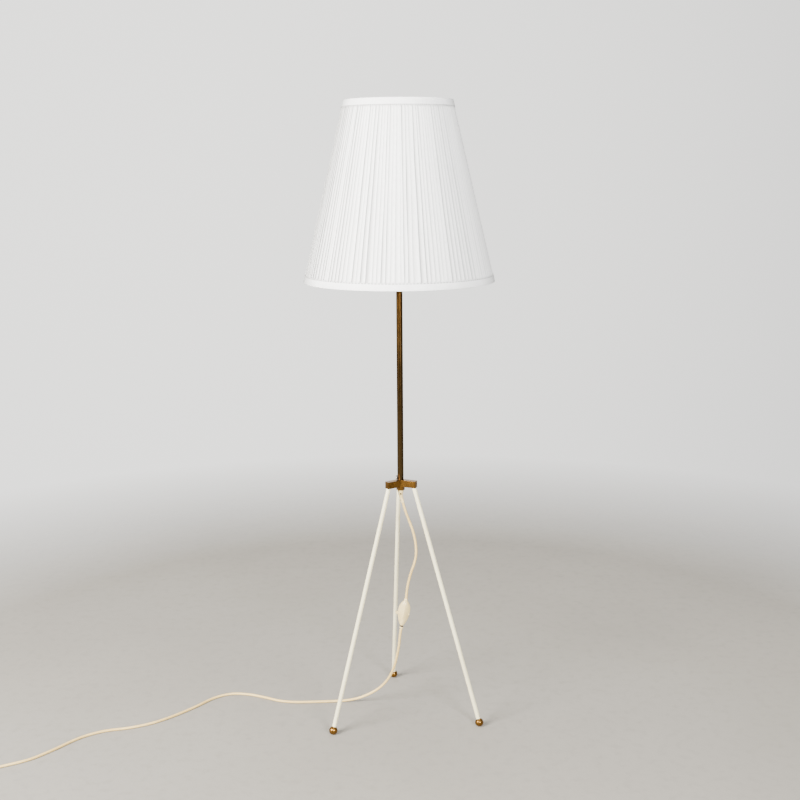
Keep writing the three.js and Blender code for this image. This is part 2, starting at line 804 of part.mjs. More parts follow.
const floorLine = cordRadius + 0.1;
const lowerCordRoute = [
  [-3, 12.6, 197],
  [-7.7, 17, 156],
  [-15, 23.6, 119],
  [-24, 31, 88.5],
  [-34, 36.5, 68],
  [-47, 41.3, 50],
  [-64, 45, 34.5],
  [-85, 48, 21.5],
  [-106, 50.5, 12],
  [-126, 52, 6.6],
  [-147, 52.4, 3.8],
  [-170, 51.5, floorLine],
  [-218, 48.5, floorLine],
  [-268, 48, floorLine],
  [-305, 56, floorLine],
  [-342, 75, floorLine],
  [-385, 93, floorLine],
  [-428, 97, floorLine],
  [-467, 76, floorLine],
  [-509, 24, floorLine],
  [-553, -24, floorLine],
  [-598, -62, floorLine],
  [-648, -86, floorLine],
  [-702, -101, floorLine],
  [-750, -133, floorLine],
  [-798, -193, floorLine],
  [-840, -238, floorLine],
  [-894, -269, floorLine],
];

function asVector(point) {
  return new THREE.Vector3(...point);
}

function switchEnd(direction) {
  const end = new THREE.Vector3(0, 0, direction * (switchCollarEnd + gap));
  return end.applyAxisAngle(new THREE.Vector3(0, 1, 0), radians(switchTilt)).add(asVector(switchCentre));
}

// The direction in which the cord runs as it meets the coil's outermost turn.
const coilApproach = new THREE.Vector3(-0.9, -0.436, 0).normalize();

function makeCord() {
  const start = cordExit.clone().addScaledVector(reliefDirection, gap);
  const upper = [start, ...upperCordRoute.map(asVector), switchEnd(1)];
  add('cord_upper', tube(new THREE.CatmullRomCurve3(upper), cordRadius, 18), creamCord);

  const inward = new THREE.Vector3(coilApproach.y, -coilApproach.x, 0);
  const tangentPoint = new THREE.Vector3(...coilCentre, floorLine).addScaledVector(inward, -coilRadius);
  const end = tangentPoint.clone().addScaledVector(coilApproach, -coilClearance);
  const lower = [switchEnd(-1), ...lowerCordRoute.map(asVector), end];
  add('cord_lower', tube(new THREE.CatmullRomCurve3(lower), cordRadius, 60), creamCord);

  const soft = 2;
  const coil = ring([
    [coilInner + soft, 0],
    [coilOuter - soft, 0],
    [coilOuter, soft],
    [coilOuter, coilHeight - soft],
    [coilOuter - soft, coilHeight],
    [coilInner + soft, coilHeight],
    [coilInner, coilHeight - soft],
    [coilInner, soft],
  ], wideSides);
  add('cord_coil', coil.translate(...coilCentre, 0), creamCord);
}

// The plug lies flat. In its own frame +Y runs from the cord's entry to the pins.
function makePlug() {
  const plug = new THREE.Group();
  plug.position.set(coilCentre[0] - coilRadius, coilCentre[1] + coilClearance + 1.5, plugAxisHeight);
  lamp.add(plug);

  const reliefEnd = 24;
  const face = reliefEnd + 36;
  const shoulder = 17.6;
  const outline = new THREE.Shape();
  outline.moveTo(-6.5, reliefEnd);
  outline.lineTo(6.5, reliefEnd);
  outline.lineTo(shoulder - 3, reliefEnd + 9);
  outline.quadraticCurveTo(shoulder, reliefEnd + 11, shoulder, reliefEnd + 15);
  outline.lineTo(shoulder, face - 4);
  outline.lineTo(shoulder - 4, face);
  outline.lineTo(-shoulder + 4, face);
  outline.lineTo(-shoulder, face - 4);
  outline.lineTo(-shoulder, reliefEnd + 15);
  outline.quadraticCurveTo(-shoulder, reliefEnd + 11, -shoulder + 3, reliefEnd + 9);
  const slab = plate(outline, -plugAxisHeight, plugAxisHeight, 1.8);
  const relief = turned([
    [0, 0],
    [reliefMouthRadius, 0],
    [5.8, reliefEnd + 1],
    [0, reliefEnd + 3],
  ]).rotateX(-Math.PI / 2);
  const pinSpacing = 18.6;
  const pinRadius = 2;
  const pinLength = 19;
  const pinDepth = 8;
  const pinHoles = [-1, 1].map((side) => {
    const hole = cylinder(pinRadius + gap, face - pinDepth - gap, face + 5, 12).rotateX(-Math.PI / 2);
    return hole.translate((side * pinSpacing) / 2, 0, 0);
  });
  add('plug_body', cut(join(slab, relief), ...pinHoles), creamPlastic, plug);

  [['left', -1], ['right', 1]].forEach(([name, side]) => {
    const pin = turned([
      [0, face - pinDepth],
      [pinRadius, face - pinDepth],
      [pinRadius, face + pinLength - 1.2],
      [pinRadius - 0.9, face + pinLength],
      [0, face + pinLength],
    ]);
    pin.rotateX(-Math.PI / 2).translate((side * pinSpacing) / 2, 0, 0);
    add(`plug_pin_${name}`, pin, nickel, plug);
  });
}

makeHub();
Object.entries(legAngles).forEach(([side, degrees]) => makeLeg(side, degrees));
makePole();
makePoleSetScrew();
makeCordGrip();
makeInnerFlex();
makeLampholder();
makeRingNuts();
makeBulb();
makeShade();
makeSwitch();
makeCord();
makePlug();

export default lamp;
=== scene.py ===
import json
import math
import random
from collections import namedtuple

import bpy
from mathutils import Matrix, Vector, noise

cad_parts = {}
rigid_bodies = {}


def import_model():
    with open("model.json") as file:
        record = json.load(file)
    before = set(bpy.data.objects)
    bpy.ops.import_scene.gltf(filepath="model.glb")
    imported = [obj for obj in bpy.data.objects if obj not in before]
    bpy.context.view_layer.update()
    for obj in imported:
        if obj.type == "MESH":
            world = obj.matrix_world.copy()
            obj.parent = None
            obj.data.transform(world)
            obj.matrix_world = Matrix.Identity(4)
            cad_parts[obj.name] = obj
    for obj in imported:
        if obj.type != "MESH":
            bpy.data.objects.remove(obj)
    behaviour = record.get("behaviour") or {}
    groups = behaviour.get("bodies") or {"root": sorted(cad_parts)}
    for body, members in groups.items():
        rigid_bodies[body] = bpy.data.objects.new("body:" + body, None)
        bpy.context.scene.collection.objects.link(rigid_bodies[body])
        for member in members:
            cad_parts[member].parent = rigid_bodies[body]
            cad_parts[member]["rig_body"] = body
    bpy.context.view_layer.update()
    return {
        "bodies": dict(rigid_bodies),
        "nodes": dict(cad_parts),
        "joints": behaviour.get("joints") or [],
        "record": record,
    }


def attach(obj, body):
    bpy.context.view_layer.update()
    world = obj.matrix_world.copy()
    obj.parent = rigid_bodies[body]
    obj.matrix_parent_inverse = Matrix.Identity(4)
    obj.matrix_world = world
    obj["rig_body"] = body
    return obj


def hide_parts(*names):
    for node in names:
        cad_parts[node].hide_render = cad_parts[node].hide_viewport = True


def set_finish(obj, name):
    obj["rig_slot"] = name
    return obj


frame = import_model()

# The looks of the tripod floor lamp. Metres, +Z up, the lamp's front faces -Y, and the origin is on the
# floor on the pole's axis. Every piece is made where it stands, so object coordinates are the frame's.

# ---- sizes, as in the CAD source

GAP = 0.0003

HUB_BOTTOM = 0.568
HUB_TOP = 0.584
HUB_ARM_REACH = 0.040
HUB_ARM_HALF_WIDTH = 0.007
LEG_RADIUS = 0.005
LEG_WALL = 0.001
LEG_TOP_RADIUS = 0.0343
FOOT_CIRCLE_RADIUS = 0.200
FOOT_BALL_RADIUS = 0.010
FOOT_CENTRE_HEIGHT = 0.0093
LEG_ANGLES = {"back": 96.15, "left": 216.15, "right": 336.15}

POLE_RADIUS = 0.0075
POLE_BORE = 0.0065
POLE_TOP = 1.230
SET_SCREW_HEIGHT = HUB_TOP + 0.0053

GRIP_TOP = 0.5588
GRIP_COLLAR_BOTTOM = 0.553
GRIP_BODY_BOTTOM = 0.547
RELIEF_LENGTH = 0.020
RELIEF_TILT = math.radians(15)

CORD_RADIUS = 0.003
COIL_CENTRE = Vector((-0.958, -0.259, 0))
COIL_WIDE = 0.037
COIL_NARROW = 0.027
PLUG_START = Vector((-0.995, -0.2355, 0.00685))

HOLDER_BASE = 1.2326
HOLDER_RADIUS = 0.0195
CARRIER_HEIGHT = 1.2783
BULB_TIP = 1.2683

SHADE_TOP = 1.450
SHADE_BOTTOM = 1.049
SHADE_TOP_RADIUS = 0.1223
SHADE_BOTTOM_RADIUS = 0.2171
TRIM_WIDTH = 0.0165
TRIM_TURN_IN = 0.008
TRIM_THICKNESS = 0.0006
# count of dark dashes round each trim band's free edge, a painted shadow of the gap under the band
SHADE_DASHES = 180
FRAME_INSET = 0.0045
RIB_INSET = 0.0042

SWITCH_FRAME = Matrix.Translation((0.0053, 0.012, 0.2475)) @ Matrix.Rotation(math.radians(9.33), 4, "Y")
SWITCH_HALF_LENGTH = 0.030
SWITCH_COLLAR_END = 0.038


# ---- camera, at the photograph's viewing angle

def make_camera():
    pitch_down = 0.19738
    roll = -0.00678
    data = bpy.data.cameras.new("camera")
    data.sensor_width = 36
    data.lens = 54.64
    camera = bpy.data.objects.new("camera", data)
    tilt = Matrix.Rotation(math.pi / 2 - pitch_down, 4, "X")
    camera.matrix_world = Matrix.Translation((0, -2.756, 1.3251)) @ tilt @ Matrix.Rotation(roll, 4, "Z")
    bpy.context.scene.collection.objects.link(camera)
    bpy.context.scene.camera = camera


# ---- lines

def around(radius, angle, height):
    return (radius * math.cos(angle), radius * math.sin(angle), height)


def polar(radius, degrees, height=0.0):
    return Vector(around(radius, math.radians(degrees), height))


def smooth_line(route, steps=8):
    """A centripetal Catmull-Rom line through a route's points, the same line as the CAD tube follows."""
    route = [Vector(point) for point in route]
    ends = [2 * route[0] - route[1], *route, 2 * route[-1] - route[-2]]
    line = [route[0]]
    for before, start, end, after in zip(ends, ends[1:], ends[2:], ends[3:]):
        enter = math.sqrt((start - before).length)
        cross = math.sqrt((end - start).length)
        leave = math.sqrt((after - end).length)
        out = (start - before) / enter - (end - before) / (enter + cross) + (end - start) / cross
        arrive = (end - start) / cross - (after - start) / (cross + leave) + (after - end) / leave
        out *= cross
        arrive *= cross
        for step in range(1, steps + 1):
            t = step / steps
            bend = (2 * start - 2 * end + out + arrive) * t + (3 * end - 3 * start - 2 * out - arrive)
            line.append(start + out * t + bend * t * t)
    return line


def rounded(corners, radius, closed=False):
    """The same outline with its corners cut round."""
    outline = []
    for index, corner in enumerate(corners):
        here = Vector(corner)
        if not closed and index in (0, len(corners) - 1):
            outline.append(here)
            continue
        back = Vector(corners[index - 1]) - here
        onward = Vector(corners[(index + 1) % len(corners)]) - here
        start = here + back.normalized() * min(radius, 0.45 * back.length)
        end = here + onward.normalized() * min(radius, 0.45 * onward.length)
        for t in (0, 0.33, 0.67, 1):
            outline.append(start * (1 - t) ** 2 + here * 2 * t * (1 - t) + end * t * t)
    return outline


# ---- parts: a pair of points and faces

def skin(rings, closed=False, capped=True):
    """Faces over rings of points. Closed joins the last ring to the first, and caps fill both ends."""
    across = len(rings[0])
    points = [Vector(point) for ring in rings for point in ring]
    faces = []
    for row in range(len(rings) if closed else len(rings) - 1):
        here = row * across
        there = (row + 1) % len(rings) * across
        for column in range(across):
            beside = (column + 1) % across
            faces.append((here + column, here + beside, there + beside, there + column))
    if capped and not closed:
        faces.append(tuple(reversed(range(across))))
        faces.append(tuple(range(len(points) - across, len(points))))
    return points, faces


def lathe(profile, sides=64, hole=False):
    """A turned part about Z. Its profile runs up its outside, and with a hole also down its inside."""
    angles = [2 * math.pi * side / sides for side in range(sides)]
    rings = [[around(r, a, z) for a in angles] for r, z in profile]
    return skin(rings, closed=hole)


def sleeve(inner, outer, bottom, top, soft, sides=64):
    corners = [(outer, bottom), (outer, top), (inner, top), (inner, bottom)]
    return lathe(rounded(corners, soft, closed=True), sides, hole=True)


def tube(line, width, height=None, sides=16):
    """A rod along a line, round, or with a width across the line and a height up and down."""
    height = height or width
    rings = []
    for index, point in enumerate(line):
        along = line[min(index + 1, len(line) - 1)] - line[max(index - 1, 0)]
        across = along.cross(Vector((0, 0, 1))).normalized()
        up = across.cross(along).normalized()
        angles = [2 * math.pi * side / sides for side in range(sides)]
        rings.append([point - across * width * math.cos(a) + up * height * math.sin(a) for a in angles])
    return skin(rings)


def rectangle(half_width, half_height):
    return [
        (-half_width, -half_height),
        (half_width, -half_height),
        (half_width, half_height),
        (-half_width, half_height),
    ]


def prism(outline, bottom, top):
    return skin([[(x, y, z) for x, y in outline] for z in (bottom, top)])


def placed(part, matrix):
    points, faces = part
    return [matrix @ point for point in points], faces


def along(start, direction):
    """The matrix that takes +Z to a direction, and the origin to a start."""
    turn = Vector((0, 0, 1)).rotation_difference(Vector(direction)).to_matrix().to_4x4()
    return Matrix.Translation(start) @ turn


# ---- pieces

Finish = namedtuple("Finish", "material slot")     # a material and the name of its slot in the record


def show(obj, finish, nodes, body):
    """Adds a piece to the scene on a body. It stands for the CAD nodes that it names."""
    obj.data.materials.append(finish.material)
    bpy.context.scene.collection.objects.link(obj)
    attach(obj, body)
    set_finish(obj, finish.slot)
    if nodes:
        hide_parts(*nodes)
    return obj


def piece(name, parts, finish, nodes=(), body="stand", sharp=35):
    """A piece made of parts, smooth except where its faces meet at more than so many degrees."""
    points = []
    faces = []
    for part_points, part_faces in parts:
        start = len(points)
        points += part_points
        faces += [[start + corner for corner in face] for face in part_faces]
    mesh = bpy.data.meshes.new(name)
    mesh.from_pydata(points, [], faces)
    mesh.update()
    mesh.shade_smooth()
    mesh.set_sharp_from_angle(angle=math.radians(sharp))
    return show(bpy.data.objects.new(name, mesh), finish, nodes, body)


def stand_in(node, parts, finish, body="stand", sharp=35):
    """The detailed piece that stands for one CAD node."""
    return piece(f"{node}_look", parts, finish, [node], body, sharp)


def soften(obj, width, segments=3):
    """Rounds a piece's sharp edges."""
    bevel = obj.modifiers.new("soft edges", "BEVEL")
    bevel.width = width
    bevel.segments = segments
    bevel.limit_method = "ANGLE"
    bevel.angle_limit = math.radians(30)
    bevel.harden_normals = True
    return obj


def carve(obj, parts):
    """Cuts parts out of a piece."""
    tool = piece("tool", parts, Finish(obj.data.materials[0], obj["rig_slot"]), (), obj["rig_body"])
    cut = obj.modifiers.new("cut", "BOOLEAN")
    cut.object = tool
    cut.solver = "EXACT"
    cut.use_self = True
    shape = obj.evaluated_get(bpy.context.evaluated_depsgraph_get())
    obj.data = bpy.data.meshes.new_from_object(shape)
    obj.modifiers.clear()
    bpy.data.objects.remove(tool)
    obj.data.set_sharp_from_angle(angle=math.radians(35))
    return obj


def cord_curve(name, line, finish, nodes):
    curve = bpy.data.curves.new(name, "CURVE")
    curve.dimensions = "3D"
    curve.bevel_depth = CORD_RADIUS
    curve.bevel_resolution = 5
    curve.use_fill_caps = True
    spline = curve.splines.new("POLY")
    spline.points.add(len(line) - 1)
    for point, place in zip(spline.points, line):
        point.co = (*place, 1)
    return show(bpy.data.objects.new(name, curve), finish, nodes, "stand")


# ---- materials

class Look:
    """A procedural material. Its textures lie on the piece's own place in the frame, in metres."""

    def __init__(self, name, slot, **shader):
        self.slot = slot
        self.material = bpy.data.materials.new(name)
        self.material.use_nodes = True
        self.tree = self.material.node_tree
        self.shader = self.tree.nodes["Principled BSDF"]
        for socket, value in shader.items():
            self.shader.inputs[socket.replace("_", " ")].default_value = value
        self.place = self.node("TexCoord").outputs["Object"]

    def node(self, kind, **settings):
        made = self.tree.nodes.new("ShaderNode" + kind)
        for setting, value in settings.items():
            setattr(made, setting, value)
        return made

    def wire(self, value, socket):
        if isinstance(value, bpy.types.NodeSocket):
            self.tree.links.new(value, socket)
        else:
            socket.default_value = value

    def stretched(self, stretch):
        mapping = self.node("Mapping")
        mapping.inputs["Scale"].default_value = stretch
        self.wire(self.place, mapping.inputs["Vector"])
        return mapping.outputs["Vector"]

    def grain(self, spots, detail=4.0, stretch=(1, 1, 1)):
        """Noise with about so many spots a metre. A stretch under 1 draws the spots out along that axis."""
        texture = self.node("TexNoise")
        texture.inputs["Scale"].default_value = spots
        texture.inputs["Detail"].default_value = detail
        self.wire(self.stretched(stretch), texture.inputs["Vector"])
        return texture.outputs["Fac"]

    def threads(self, count, direction, wobble):
        """Soft bands across a direction, about so many a metre."""
        texture = self.node("TexWave", bands_direction=direction)
        texture.inputs["Scale"].default_value = count / 3.2
        texture.inputs["Distortion"].default_value = wobble
        texture.inputs["Detail"].default_value = 1
        texture.inputs["Detail Scale"].default_value = 2
        self.wire(self.place, texture.inputs["Vector"])
        return texture.outputs["Fac"]

    def coordinates(self):
        parts = self.node("SeparateXYZ")
        self.wire(self.place, parts.inputs["Vector"])
        return parts.outputs

    def height(self):
        return self.coordinates()["Z"]

    def height_share(self, bottom, top):
        return self.between(self.height(), 0, 1, bottom, top)

    def axis_distance(self):
        level = self.node("VectorMath", operation="LENGTH")
        self.wire(self.stretched((1, 1, 0)), level.inputs[0])
        return level.outputs["Value"]

    def edge_on_shade(self, most):
        """A mask for painted shade: grows from nothing to the given share where the surface turns away from
        the eye.
        """
        weight = self.node("LayerWeight")
        return self.between(weight.outputs["Facing"], 0, most, 0.5, 1)

    def shade_dash_line(self, edge, direction):
        """A line of dark dashes around the axis, just inside the free edge of a trim band: painted shadow of
        the gap under the band's edge, drawn as stitches. Direction is -1 for the band that hangs from the top
        edge and 1 for the one that stands on the bottom edge."""
        free = edge + direction * (TRIM_WIDTH - 0.0004)
        held = edge + direction * (TRIM_WIDTH - 0.0022)
        outside = self.height_share(free, free - direction * 0.0003)
        inside = self.height_share(held, held + direction * 0.0003)
        here = self.coordinates()
        angle = self.combined("ARCTAN2", here["Y"], here["X"])
        wave = self.combined("SINE", self.combined("MULTIPLY", angle, SHADE_DASHES), 0)
        dashes = self.between(wave, 0.25, 1, -0.7, -0.3)
        return self.combined("MULTIPLY", dashes, self.combined("MULTIPLY", outside, inside))

    def between(self, value, low, high, start=0.3, end=0.7):
        """The value taken from the range start to end to the range low to high."""
        ranged = self.node("MapRange")
        self.wire(value, ranged.inputs["Value"])
        for socket, number in (("From Min", start), ("From Max", end), ("To Min", low), ("To Max", high)):
            ranged.inputs[socket].default_value = number
        return ranged.outputs["Result"]

    def combined(self, operation, first, second):
        sum_node = self.node("Math", operation=operation)
        self.wire(first, sum_node.inputs[0])
        self.wire(second, sum_node.inputs[1])
        return sum_node.outputs["Value"]

    def mixed(self, share, first, second):
        mix = self.node("Mix", data_type="RGBA")
        self.wire(share, mix.inputs["Factor"])
        for index, colour in ((6, first), (7, second)):
            self.wire((*colour, 1) if isinstance(colour, tuple) else colour, mix.inputs[index])
        return mix.outputs[2]

    def mottled(self, first, second, spots, detail=4.0, stretch=(1, 1, 1)):
        """A colour that wanders from the first to the second and back, in about so many spots a metre."""
        return self.mixed(self.between(self.grain(spots, detail, stretch), 0, 1), first, second)

    def done(self, colour, roughness, relief, depth):
        """Wires up the colour and the roughness, and a relief that is so many metres deep."""
        bump = self.node("Bump")
        bump.inputs["Distance"].default_value = depth
        self.wire(relief, bump.inputs["Height"])
        self.wire(bump.outputs["Normal"], self.shader.inputs["Normal"])
        self.wire(colour, self.shader.inputs["Base Color"])
        self.wire(roughness, self.shader.inputs["Roughness"])
        return Finish(self.material, self.slot)


def brass_look():
    """Old satin brass with brown spots of tarnish."""
    look = Look("brass", "brass", Metallic=1.0)
    metal = look.mottled((0.235, 0.115, 0.023), (0.15, 0.072, 0.015), 45)
    tarnish = look.between(look.grain(160, 8), 0, 0.75, 0.52, 0.72)
    colour = look.mixed(tarnish, metal, (0.045, 0.023, 0.008))
    scratches = look.grain(900, 3, (1, 1, 0.12))
    roughness = look.combined("ADD", look.between(scratches, 0.2, 0.34), look.between(tarnish, 0, 0.2, 0, 1))
    return look.done(colour, roughness, scratches, 0.00004)


def pole_brass_look():
    """Brass tube that has darkened, with a painted reflection running from golden brown at the top to olive
    brown towards the hub.
    """
    look = Look("pole brass", "brass", Metallic=1.0)
    reflection_gold_above = 1.08
    # painted reflection: the tone changes with height, from olive brown low down to golden brown higher up
    height = look.height_share(HUB_TOP, reflection_gold_above)
    metal = look.mixed(height, (0.072, 0.046, 0.018), (0.066, 0.029, 0.006))
    blotches = look.between(look.grain(38, 6, (1, 1, 0.35)), 0, 0.6, 0.42, 0.7)
    aged = look.mixed(blotches, metal, (0.03, 0.017, 0.006))
    rubbed = look.between(look.grain(70, 5, (1, 1, 0.2)), 0, 0.5, 0.6, 0.8)
    colour = look.mixed(rubbed, aged, (0.17, 0.088, 0.024))
    drawn = look.grain(1300, 3, (1, 1, 0.03))
    roughness = look.combined("ADD", look.between(drawn, 0.2, 0.3), look.between(blotches, 0, 0.16, 0, 1))
    return look.done(colour, roughness, drawn, 0.00003)


def lacquer_look():
    """Off-white lacquer on steel tube, a little yellowed, with small scuffs."""
    look = Look("white lacquer", "white_lacquer", Coat_Weight=0.35, Coat_Roughness=0.18)
    paint = look.mottled((0.68, 0.625, 0.42), (0.63, 0.56, 0.345), 12)
    scuffs = look.between(look.grain(330, 6, (1, 1, 0.4)), 0, 0.5, 0.66, 0.78)
    colour = look.mixed(scuffs, paint, (0.46, 0.40, 0.31))
    orange_peel = look.grain(700, 2)
    gloss = look.between(look.grain(60), 0.26, 0.38)
    roughness = look.combined("ADD", gloss, look.between(scuffs, 0, 0.3, 0, 1))
    return look.done(colour, roughness, orange_peel, 0.00003)


def steel_look():
    """Zinc-plated steel, dulled in patches."""
    look = Look("steel", "steel", Metallic=1.0)
    dull = look.between(look.grain(240, 6), 0, 1, 0.4, 0.65)
    colour = look.mixed(dull, (0.58, 0.575, 0.56), (0.33, 0.32, 0.30))
    marks = look.grain(1600, 3)
    return look.done(colour, look.between(dull, 0.24, 0.46, 0, 1), marks, 0.00003)


def shade_dark_steel_look():
    """A steel screw coloured nearly black as painted shade of the hole it sits in, with rubbed spots."""
    look = Look("shade-dark steel", "steel", Metallic=1.0)
    rubbed = look.between(look.grain(900, 6), 0, 0.5, 0.55, 0.75)
    # near-black base: painted shade of the screw's hole; the rubbed spots are wear
    colour = look.mixed(rubbed, (0.035, 0.028, 0.022), (0.14, 0.12, 0.10))
    marks = look.grain(1600, 3)
    return look.done(colour, look.between(marks, 0.4, 0.6), marks, 0.00003)


def nickel_look():
    """Nickel plate, warm and bright, with fine turning marks."""
    look = Look("nickel", "nickel", Metallic=1.0)
    dull = look.between(look.grain(130, 6), 0, 1, 0.4, 0.7)
    colour = look.mixed(dull, (0.70, 0.675, 0.62), (0.50, 0.47, 0.42))
    marks = look.grain(2200, 2, (0.3, 0.3, 1))
    return look.done(colour, look.between(dull, 0.16, 0.34, 0, 1), marks, 0.00002)


def cream_plastic_look(name="cream plastic", groove=None):
    """Moulded cream plastic, a little yellowed, with dust in its finest hollows. A groove is a matrix and the
    two heights along its Z between which the plastic is painted near black, as painted shade in the groove."""
    look = Look(name, "cream_plastic", Specular_IOR_Level=0.5, Coat_Weight=0.3, Coat_Roughness=0.2)
    plastic = look.mottled((0.60, 0.47, 0.225), (0.54, 0.405, 0.175), 70)
    dust = look.between(look.grain(650, 6), 0, 0.4, 0.6, 0.75)
    colour = look.mixed(dust, plastic, (0.47, 0.38, 0.22))
    if groove:
        matrix, bottom, top = groove
        axis = matrix.to_3x3() @ Vector((0, 0, 1))
        height = look.node("VectorMath", operation="DOT_PRODUCT")
        look.wire(look.place, height.inputs[0])
        height.inputs[1].default_value = axis
        base = axis.dot(matrix.translation)
        above = look.between(height.outputs["Value"], 0, 1, base + bottom - 0.0003, base + bottom + 0.0002)
        below = look.between(height.outputs["Value"], 1, 0, base + top - 0.0002, base + top + 0.0005)
        # painted shade: near black inside the groove
        colour = look.mixed(look.combined("MULTIPLY", above, below), colour, (0.05, 0.032, 0.018))
    texture = look.grain(2400, 3)
    return look.done(colour, look.between(look.grain(120), 0.34, 0.5), texture, 0.00003)


def cord_look():
    """Cream PVC flex, with grime along it in patches."""
    look = Look("cord", "cord_pvc", Specular_IOR_Level=0.42)
    sheath = look.mottled((0.60, 0.43, 0.165), (0.53, 0.36, 0.125), 25)
    grime = look.between(look.grain(90, 7), 0, 0.45, 0.58, 0.76)
    colour = look.mixed(grime, sheath, (0.38, 0.275, 0.13))
    texture = look.grain(1500, 3)
    return look.done(colour, look.between(look.grain(60), 0.38, 0.55), texture, 0.00005)


def bakelite_look():
    """Black phenolic resin with a brown cast and dust that has settled on it."""
    look = Look("bakelite", "bakelite", Coat_Weight=0.2, Coat_Roughness=0.12)
    resin = look.mottled((0.018, 0.013, 0.011), (0.045, 0.026, 0.017), 90, 5, (1, 1, 0.5))
    dust = look.between(look.grain(420, 8), 0, 0.3, 0.56, 0.75)
    colour = look.mixed(dust, resin, (0.20, 0.18, 0.155))
    gloss = look.between(look.grain(150), 0.2, 0.32)
    roughness = look.combined("ADD", gloss, look.between(dust, 0, 0.5, 0, 1))
    return look.done(colour, roughness, look.grain(1800, 3), 0.00003)


def ceramic_look():
    """Unglazed steatite with fine specks."""
    look = Look("ceramic", "ceramic")
    body = look.mottled((0.79, 0.765, 0.70), (0.70, 0.665, 0.59), 110)
    specks = look.between(look.grain(1400, 3), 0, 0.5, 0.66, 0.74)
    colour = look.mixed(specks, body, (0.36, 0.32, 0.27))
    return look.done(colour, look.between(look.grain(300), 0.45, 0.65), look.grain(1100, 5), 0.00006)


def opal_glass_look():
    """White opal glass with a faint cloudiness."""
    look = Look(
        "opal glass",
        "opal_glass",
        Subsurface_Weight=0.35,
        Subsurface_Radius=(0.02, 0.018, 0.015),
        Coat_Weight=0.6,
        Coat_Roughness=0.04,
        IOR=1.5,
    )
    colour = look.mottled((0.87, 0.86, 0.82), (0.83, 0.815, 0.765), 30, 2)
    haze = look.grain(140, 6)
    return look.done(colour, look.between(haze, 0.1, 0.2), look.grain(60, 2), 0.00003)


def frame_wire_look():
    """White powder coat over steel wire, rubbed through in specks."""
    look = Look("frame wire", "frame_wire", Specular_IOR_Level=0.45)
    coat = look.mottled((0.79, 0.785, 0.76), (0.73, 0.72, 0.68), 50)
    rubbed = look.between(look.grain(500, 5), 0, 0.5, 0.7, 0.8)
    colour = look.mixed(rubbed, coat, (0.42, 0.41, 0.39))
    return look.done(colour, look.between(look.grain(200), 0.36, 0.5), look.grain(1500, 3), 0.00006)


def pleated_fabric_look():
    """White chiffon: upright threads and a faint weft. Painted shade makes it greyer down in its folds, close
    to the bands that gather it, and where it is seen edge on, and draws darker upright streaks as shade
    between the pleats."""
    look = Look(
        "pleated fabric",
        "pleated_fabric",
        Sheen_Weight=0.1,
        Sheen_Roughness=0.5,
        Specular_IOR_Level=0.2,
    )
    cloth = look.mottled((0.90, 0.895, 0.875), (0.865, 0.855, 0.83), 9, 3)
    # darker upright streaks: painted shade between the pleats
    pleat_shade_streaks = look.between(look.grain(420, 4, (1, 1, 0.04)), 0, 0.6, 0.45, 0.75)
    colour = look.mixed(pleat_shade_streaks, cloth, (0.70, 0.69, 0.67))
    slope = (SHADE_BOTTOM_RADIUS - SHADE_TOP_RADIUS) / (SHADE_TOP - SHADE_BOTTOM)
    outer = SHADE_TOP_RADIUS + slope * SHADE_TOP
    reach = look.combined("ADD", look.axis_distance(), look.combined("MULTIPLY", look.height(), slope))
    # painted shade: grey in the fold valleys, measured inward from the cone's outer line
    folds = look.between(reach, 1, 0, outer - 0.0022, outer - 0.0010)
    # painted shadow close under the top band and over the bottom band
    under_top = look.height_share(SHADE_TOP - TRIM_WIDTH - 0.005, SHADE_TOP - TRIM_WIDTH)
    over_bottom = look.height_share(SHADE_BOTTOM + TRIM_WIDTH + 0.004, SHADE_BOTTOM + TRIM_WIDTH)
    band_edge_shade = look.combined("MULTIPLY", look.combined("MAXIMUM", under_top, over_bottom), 0.6)
    shaded = look.mixed(look.combined("MAXIMUM", folds, band_edge_shade), colour, (0.40, 0.395, 0.385))
    # painted shade where the cloth is seen edge on
    colour = look.mixed(look.edge_on_shade(0.7), shaded, (0.30, 0.30, 0.295))
    weave = look.combined("ADD", look.grain(1700, 2, (1, 1, 0.15)), look.threads(1500, "Z", 3.0))
    return look.done(colour, look.between(look.grain(300), 0.72, 0.9), weave, 0.00009)


def lining_fabric_look():
    """Plain white lining cloth, a shade warmer than the cover."""
    look = Look("lining fabric", "lining_fabric", Sheen_Weight=0.15, Specular_IOR_Level=0.2)
    cloth = look.mottled((0.855, 0.84, 0.80), (0.81, 0.79, 0.735), 14, 4)
    marks = look.between(look.grain(60, 6), 0, 0.3, 0.62, 0.8)
    colour = look.mixed(marks, cloth, (0.66, 0.62, 0.54))
    weave = look.combined("ADD", look.threads(1300, "X", 2.0), look.threads(1300, "Z", 2.0))
    return look.done(colour, look.between(look.grain(250), 0.75, 0.92), weave, 0.00008)


